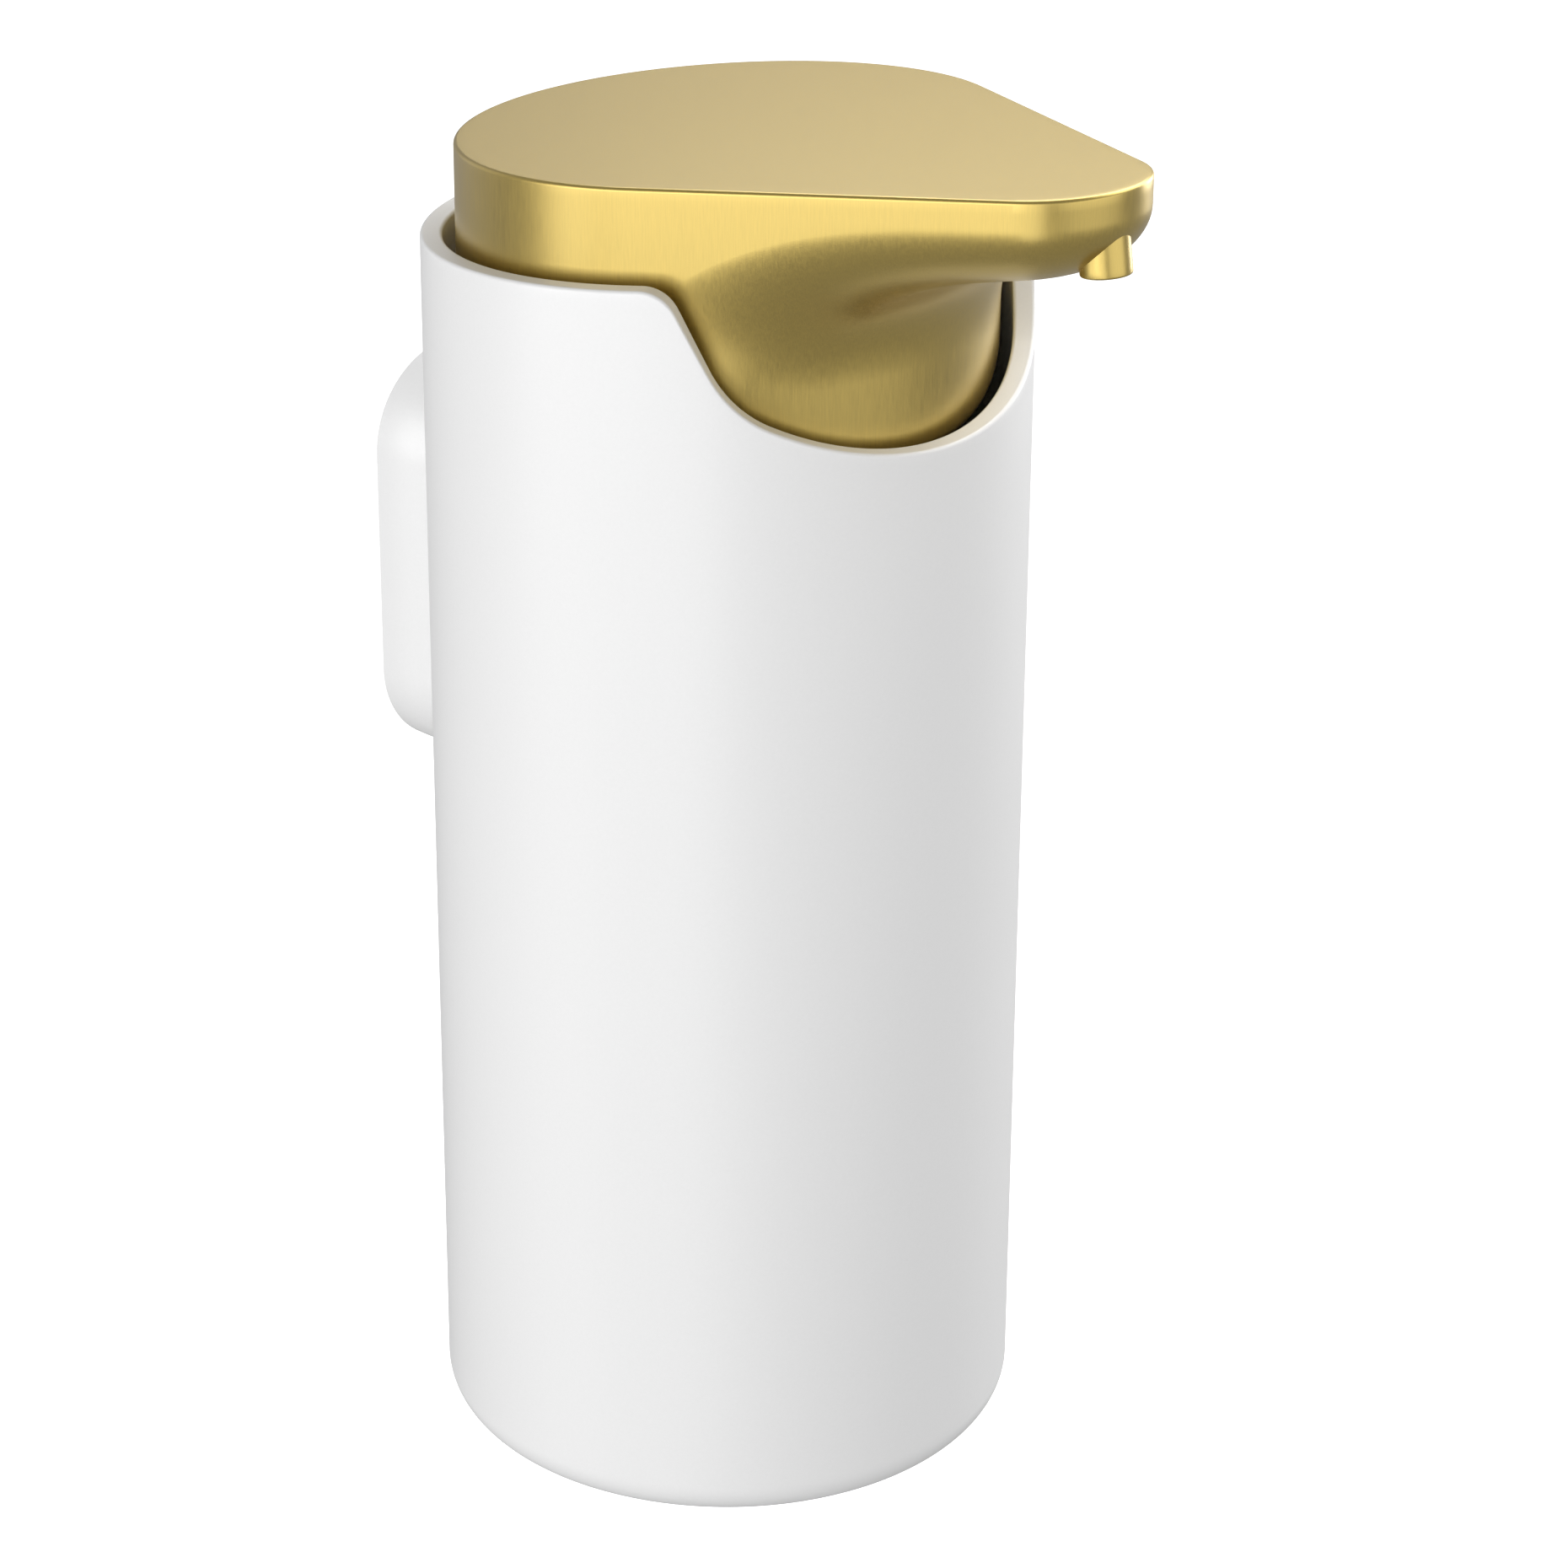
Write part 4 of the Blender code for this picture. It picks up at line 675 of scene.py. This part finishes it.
def spring_mesh(spring, steps_per_turn=32):
    """Wire wound from the spring's foot to its top."""
    low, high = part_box("return_spring")
    radius = (high.x - low.x) / 2 - spring.wire
    rise = high.z - low.z - 2 * spring.wire
    steps = steps_per_turn * spring.turns
    rings = []
    for step in range(steps + 1):
        angle = 2 * math.pi * spring.turns * step / steps
        out = Vector((math.cos(angle), math.sin(angle), 0))
        middle = out * radius + Vector((0, 0, low.z - AXIS.z + spring.wire + rise * step / steps))
        rings.append([
            middle + spring.wire * (out * math.cos(a) + Vector((0, 0, math.sin(a))))
            for a in (math.radians(30 * side) for side in range(12))
        ])
    return smooth(lofted("spring", rings, closed=False), 50)


# ---------------------------------------------------------------- finishes

class Nodes:
    """Shorthand for a Principled material's nodes."""

    def __init__(self, name):
        self.material = bpy.data.materials.new(name)
        self.material.use_nodes = True
        self.tree = self.material.node_tree
        self.shader = self.tree.nodes["Principled BSDF"]
        self.place = self.add("ShaderNodeTexCoord").outputs["Object"]

    def add(self, kind, **settings):
        node = self.tree.nodes.new(kind)
        for key, value in settings.items():
            setattr(node, key, value)
        return node

    def link(self, output, target):
        self.tree.links.new(output, target)

    def set(self, **values):
        """Sets the shader's own sockets: Coat_Weight=1.0 sets Coat Weight."""
        for key, value in values.items():
            self.shader.inputs[key.replace("_", " ")].default_value = value

    def paint(self, share, base, dark, bright, start=0.0, end=1.0):
        """Colours the surface from a dark to a bright shade of its base colour."""
        shades = shade_of(base, dark), shade_of(base, bright)
        self.link(self.blend(self.spread(share, 0.0, 1.0, start, end), *shades), self.shader.inputs["Base Color"])

    def roughen(self, share, low, high, start=0.0, end=1.0):
        """Varies the surface's roughness from low to high."""
        self.link(self.spread(share, low, high, start, end), self.shader.inputs["Roughness"])

    def noise(self, scale, stretch=(1, 1, 1), detail=2.0, roughness=0.5):
        """Noise whose features are about 1 / scale metres, drawn out along each axis by 1 / stretch."""
        mapping = self.add("ShaderNodeMapping")
        mapping.inputs["Scale"].default_value = stretch
        self.link(self.place, mapping.inputs["Vector"])
        noise = self.add("ShaderNodeTexNoise")
        noise.inputs["Scale"].default_value = scale
        noise.inputs["Detail"].default_value = detail
        noise.inputs["Roughness"].default_value = roughness
        self.link(mapping.outputs["Vector"], noise.inputs["Vector"])
        return noise.outputs["Fac"]

    def spread(self, value, low, high, start=0.0, end=1.0):
        """Maps a value from start..end to low..high."""
        ranged = self.add("ShaderNodeMapRange")
        for key, number in (("From Min", start), ("From Max", end), ("To Min", low), ("To Max", high)):
            ranged.inputs[key].default_value = number
        self.link(value, ranged.inputs["Value"])
        return ranged.outputs["Result"]

    def blend(self, share, first, second):
        """A colour between two colours."""
        mix = self.add("ShaderNodeMix", data_type="RGBA")
        colour_a, colour_b, result = mix.inputs[6], mix.inputs[7], mix.outputs[2]
        colour_a.default_value = (*first, 1.0)
        colour_b.default_value = (*second, 1.0)
        self.link(share, mix.inputs["Factor"])
        return result

    def between(self, share, first, second):
        """A number between two numbers."""
        mix = self.add("ShaderNodeMix", data_type="FLOAT")
        number_a, number_b, result = mix.inputs[2], mix.inputs[3], mix.outputs[0]
        self.link(first, number_a)
        self.link(second, number_b)
        self.link(share, mix.inputs["Factor"])
        return result

    def bump(self, height, strength, distance):
        """Raises the surface by distance in metres, times strength."""
        bump = self.add("ShaderNodeBump")
        bump.inputs["Strength"].default_value = strength
        bump.inputs["Distance"].default_value = distance
        self.link(height, bump.inputs["Height"])
        self.link(bump.outputs["Normal"], self.shader.inputs["Normal"])

    def facing_up(self):
        """1 on faces that look straight up or down, 0 on upright ones."""
        normal = self.add("ShaderNodeTexCoord").outputs["Normal"]
        split = self.add("ShaderNodeSeparateXYZ")
        self.link(normal, split.inputs[0])
        size = self.add("ShaderNodeMath", operation="ABSOLUTE")
        self.link(split.outputs["Z"], size.inputs[0])
        return self.spread(size.outputs[0], 0.0, 1.0, 0.75, 0.95)


def shade_of(base, share):
    """A darker or brighter shade of a colour."""
    return tuple(min(channel * share, 1.0) for channel in base)


def powder_coat(finishes):
    """Matt white powder coat with a fine orange-peel grain."""
    n = Nodes("white powder coat")
    n.set(IOR=1.5, Specular_IOR_Level=0.8)
    grain = n.noise(2600, detail=3.0, roughness=0.6)
    cloud = n.noise(60, detail=2.0)
    n.paint(grain, finishes.coat, 0.975, 1.02)
    n.roughen(cloud, finishes.coat_roughness - 0.03, finishes.coat_roughness + 0.03)
    n.bump(grain, 0.10, 0.00003)
    return n.material


def brushed_gold(finishes):
    """Brushed gold: upright brush lines on the sides, a fine even grain on the top."""
    n = Nodes("brushed gold")
    n.set(Metallic=1.0, IOR=1.5, Coat_Weight=0.6, Coat_IOR=1.6, Coat_Roughness=0.30)
    lines = n.noise(6500, stretch=(1, 1, 0.05), detail=2.0, roughness=0.65)
    grain = n.noise(4200, detail=2.0, roughness=0.7)
    relief = n.between(n.facing_up(), lines, grain)
    n.paint(relief, finishes.gold, 0.93, 1.04, start=0.3, end=0.7)
    n.roughen(relief, finishes.gold_roughness - 0.04, finishes.gold_roughness + 0.04, start=0.3, end=0.7)
    n.bump(relief, 0.12, 0.000018)
    return n.material


def stainless_steel(finishes):
    """Bright steel with fine turning marks."""
    n = Nodes("stainless steel")
    n.set(Metallic=1.0)
    marks = n.noise(4200, stretch=(1, 1, 0.2), detail=3.0)
    n.paint(marks, finishes.steel, 0.88, 1.1)
    n.roughen(marks, 0.22, 0.42)
    n.bump(marks, 0.1, 0.00002)
    return n.material


def natural_plastic(finishes):
    """Milky blow-moulded plastic with a faint flow and a light sheen."""
    n = Nodes("natural plastic")
    n.set(IOR=1.5, Subsurface_Weight=0.35, Subsurface_Scale=0.004)
    flow = n.noise(90, stretch=(1, 1, 0.25), detail=3.0)
    peel = n.noise(900, detail=2.0)
    n.paint(flow, finishes.natural, 0.93, 1.04)
    n.roughen(flow, 0.26, 0.40)
    n.bump(peel, 0.08, 0.00005)
    return n.material


def black_plastic(finishes):
    """Moulded black plastic with a fine spark-eroded texture."""
    n = Nodes("black plastic")
    n.set(IOR=1.5)
    grain = n.noise(3200, detail=2.0)
    n.paint(grain, finishes.black, 0.8, 1.5)
    n.roughen(grain, 0.40, 0.56)
    n.bump(grain, 0.2, 0.00003)
    return n.material


def grey_rubber(finishes):
    """Soft grey rubber with a dusty, dull surface."""
    n = Nodes("grey rubber")
    n.set(IOR=1.45)
    grain = n.noise(2400, detail=4.0, roughness=0.7)
    n.paint(grain, finishes.rubber, 0.85, 1.2)
    n.roughen(grain, 0.70, 0.88)
    n.bump(grain, 0.25, 0.00004)
    return n.material


FINISHES = {
    "white_coat": powder_coat,
    "brushed_gold": brushed_gold,
    "steel": stainless_steel,
    "natural_plastic": natural_plastic,
    "black_plastic": black_plastic,
    "rubber": grey_rubber,
}
made_finishes = {}


def finish(slot):
    """The material for a slot, made once."""
    if slot not in made_finishes:
        made_finishes[slot] = FINISHES[slot](bpy.context.scene.dispenser.finishes)
    return made_finishes[slot]


def dress(slot, *nodes, soften=0.0):
    """Gives CAD nodes a finish, and where asked a fine rounding of their edges."""
    for node in nodes:
        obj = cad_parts[node]
        obj.data.materials.clear()
        obj.data.materials.append(finish(slot))
        if soften:
            bevel = obj.modifiers.new("soft edges", "BEVEL")
            bevel.width = soften
            bevel.segments = 2
            bevel.limit_method = "ANGLE"
            bevel.angle_limit = math.radians(50)
            bevel.harden_normals = True


# ---------------------------------------------------------------- operators

class DISPENSER_OT_cup(bpy.types.Operator):
    """Makes the white cup with its sloping rim and the dip under the spout"""

    bl_idname = "dispenser.cup"
    bl_label = "Cup"

    def execute(self, context):
        cup = context.scene.dispenser.cup
        even_shading(piece("cup_coated", cup_mesh(cup), "holder", "white_coat", "cup"))
        dress("rubber", "bottle_pad", soften=SOFT_EDGE)
        return {"FINISHED"}


class DISPENSER_OT_head(bpy.types.Operator):
    """Makes the gold head with its spout, skirt and nozzle"""

    bl_idname = "dispenser.head"
    bl_label = "Head and Nozzle"

    def execute(self, context):
        settings = context.scene.dispenser
        even_shading(piece("head_brushed", head_mesh(settings.cup, settings.head), "pump_head", "brushed_gold",
                           "head_shell"))
        even_shading(piece("nozzle_brushed", nozzle_mesh(settings.nozzle), "pump_head", "brushed_gold", "nozzle"))
        return {"FINISHED"}


class DISPENSER_OT_bracket(bpy.types.Operator):
    """Makes the pillow shaped wall bracket and finishes the plate and screws"""

    bl_idname = "dispenser.bracket"
    bl_label = "Bracket and Wall Plate"

    def execute(self, context):
        settings = context.scene.dispenser
        even_shading(piece("bracket_coated", bracket_mesh(settings.bracket, settings.cup), "holder",
                           "white_coat", "wall_bracket"))
        dress("steel", "wall_plate", soften=SOFT_EDGE)
        dress("steel", "lock_screw", "cup_screw_lower", "cup_screw_upper")
        return {"FINISHED"}


class DISPENSER_OT_bottle(bpy.types.Operator):
    """Makes the refill bottle and its closure"""

    bl_idname = "dispenser.bottle"
    bl_label = "Bottle and Closure"

    def execute(self, context):
        bottle = context.scene.dispenser.bottle
        piece("bottle_blown", bottle_mesh(bottle), "refill", "natural_plastic", "bottle")
        piece("closure_ribbed", collar_mesh(bottle), "refill", "black_plastic", "closure_collar")
        piece("cap_stepped", cap_mesh(), "refill", "black_plastic", "barrel_cap")
        dress("rubber", "neck_gasket")
        return {"FINISHED"}


class DISPENSER_OT_pump(bpy.types.Operator):
    """Winds the return spring and finishes the pump's inner pieces"""

    bl_idname = "dispenser.pump"
    bl_label = "Pump"

    def execute(self, context):
        spring = context.scene.dispenser.spring
        coil = piece("spring_wound", spring_mesh(spring), "refill", "steel", "return_spring")
        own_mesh(coil)
        dress("natural_plastic", "pump_housing", "ball_cage", "dip_tube", "piston", "pump_stem", "soap_channel")
        dress("steel", "inlet_ball", "core_screw_1", "core_screw_2", "core_screw_3")
        dress("black_plastic", "head_core")
        dress("rubber", "piston_seal", "spout_grommet")
        return {"FINISHED"}


class DISPENSER_OT_studio(bpy.types.Operator):
    """Makes the floor, backdrop, soft lights, view settings and camera"""

    bl_idname = "dispenser.studio"
    bl_label = "Studio"

    def execute(self, context):
        studio = context.scene.dispenser.studio
        make_floor(studio)
        make_ambient(studio)
        make_lights(studio)
        make_camera(studio)
        context.scene.view_settings.view_transform = "Standard"
        context.scene.view_settings.look = "None"
        return {"FINISHED"}


# ---------------------------------------------------------------- studio

FLOOR_RADIUS = 6.0

CAMERA_BACK = Vector((-0.6514, -0.6362, 0.4133))
CAMERA_ROLL = math.radians(0.387)
CAMERA_AIM = Vector((4.65, -4.76, 81.21)) * MM
CAMERA_DISTANCE = 565.32 * MM

# Bearings are from the camera's, in degrees; widths and heights in metres
CAMERA_BEARING = -45.7
LIGHT_AIM = Vector((0, 0, 80)) * MM
LIGHT_DISTANCE = 0.8
SOFT_LIGHTS = (
    # name, bearing, elevation, width, height
    ("key", -66, 8, 0.36, 0.60),
    ("broad", -38, 8, 0.38, 0.60),
    ("front", -12, 0, 0.34, 0.80),
    ("fill", 48, 6, 1.10, 0.50),
    ("edge", 133, 8, 0.36, 0.50),
    ("back", 165, 46, 0.60, 0.50),
    ("side", 115, 44, 0.70, 0.50),
    ("rear", -125, 10, 0.50, 0.60),
    ("lift", -65, -30, 0.40, 0.40),
)


def seen_directly_only(obj):
    """Stands behind the object without lighting it, shading it or showing in it."""
    obj.visible_diffuse = False
    obj.visible_glossy = False
    obj.visible_transmission = False
    obj.visible_volume_scatter = False
    obj.visible_shadow = False


def make_floor(studio):
    """A pale round floor that rises into a dome all round."""
    radius = FLOOR_RADIUS
    bend = 0.2 * radius
    level = AXIS.z - studio.floor_drop
    profile = [(bend * step, level) for step in range(1, 5)]
    profile += arc((radius - bend, level + bend), bend, -90, 0, 12)
    profile += [(radius, radius)]
    material = bpy.data.materials.new("pale floor")
    material.use_nodes = True
    shader = material.node_tree.nodes["Principled BSDF"]
    shader.inputs["Base Color"].default_value = (*studio.floor, 1.0)
    shader.inputs["Roughness"].default_value = 1.0
    shader.inputs["Emission Color"].default_value = (*studio.floor, 1.0)
    shader.inputs["Emission Strength"].default_value = 1.0
    mesh = turned("floor", profile, steps=96, closed=False)
    mesh.materials.append(material)
    floor = link_new("floor", mesh)
    seen_directly_only(floor)


def make_ambient(studio):
    """Even light from all round."""
    world = bpy.data.worlds.new("even light")
    bpy.context.scene.world = world
    world.use_nodes = True
    background = world.node_tree.nodes["Background"]
    background.inputs["Color"].default_value = (1.0, 1.0, 1.0, 1.0)
    background.inputs["Strength"].default_value = studio.ambient


def soft_light(name, azimuth, elevation, width, height, power):
    """A rectangular light that faces the object's middle."""
    data = bpy.data.lights.new(name, "AREA")
    data.shape = "RECTANGLE"
    data.size, data.size_y = width, height
    data.energy = power
    light = link_new(name, data)
    around, up = math.radians(azimuth), math.radians(elevation)
    away = Vector((math.sin(around) * math.cos(up), -math.cos(around) * math.cos(up), math.sin(up)))
    light.location = AXIS + LIGHT_AIM + away * LIGHT_DISTANCE
    light.rotation_mode = "QUATERNION"
    light.rotation_quaternion = away.to_track_quat("Z", "Y")
    light.visible_camera = False


def make_lights(studio):
    """All the soft lights, each with the power that the studio's settings give it."""
    for name, bearing, elevation, width, height in SOFT_LIGHTS:
        soft_light(name, CAMERA_BEARING + bearing, elevation, width, height, getattr(studio, name))


def make_camera(studio):
    """A long lens from the left of the spout and above."""
    data = bpy.data.cameras.new("camera")
    data.lens = studio.lens
    data.sensor_width = 36.0
    data.clip_start = 0.01
    back = CAMERA_BACK.normalized()
    right = Vector((0, 0, 1)).cross(back).normalized()
    up = back.cross(right)
    tilt = Matrix.Rotation(CAMERA_ROLL, 3, back)
    matrix = Matrix((tilt @ right, tilt @ up, back)).transposed().to_4x4()
    matrix.translation = AXIS + CAMERA_AIM + back * CAMERA_DISTANCE
    camera = link_new("camera", data)
    camera.matrix_world = matrix
    bpy.context.scene.camera = camera


class DISPENSER_PT_panel(bpy.types.Panel):
    """Lists the dispenser's pieces and settings"""

    bl_idname = "DISPENSER_PT_panel"
    bl_label = "Soap Dispenser"
    bl_space_type = "VIEW_3D"
    bl_region_type = "UI"
    bl_category = "Dispenser"

    def draw(self, context):
        settings = context.scene.dispenser
        for operator in OPERATORS:
            self.layout.operator(operator.bl_idname)
        for name in ("cup", "head", "nozzle", "bracket", "bottle", "spring", "finishes", "studio"):
            group = getattr(settings, name)
            box = self.layout.box()
            box.label(text=name.capitalize())
            for key in group.bl_rna.properties.keys():
                if key not in ("rna_type", "name"):
                    box.prop(group, key)


OPERATORS = (
    DISPENSER_OT_cup, DISPENSER_OT_head, DISPENSER_OT_bracket, DISPENSER_OT_bottle, DISPENSER_OT_pump,
    DISPENSER_OT_studio,
)
GROUPS = (
    CupSizes, HeadSizes, NozzleSizes, BracketSizes, BottleSizes, SpringSizes, Finishes, Studio,
    DispenserSettings,
)


def register():
    for item in (*GROUPS, *OPERATORS, DISPENSER_PT_panel):
        bpy.utils.register_class(item)
    bpy.types.Scene.dispenser = PointerProperty(type=DispenserSettings)


def unregister():
    del bpy.types.Scene.dispenser
    for item in reversed((*GROUPS, *OPERATORS, DISPENSER_PT_panel)):
        bpy.utils.unregister_class(item)


def main():
    register()
    bpy.ops.dispenser.cup()
    bpy.ops.dispenser.head()
    bpy.ops.dispenser.bracket()
    bpy.ops.dispenser.bottle()
    bpy.ops.dispenser.pump()
    bpy.ops.dispenser.studio()


if __name__ == "__main__":
    main()
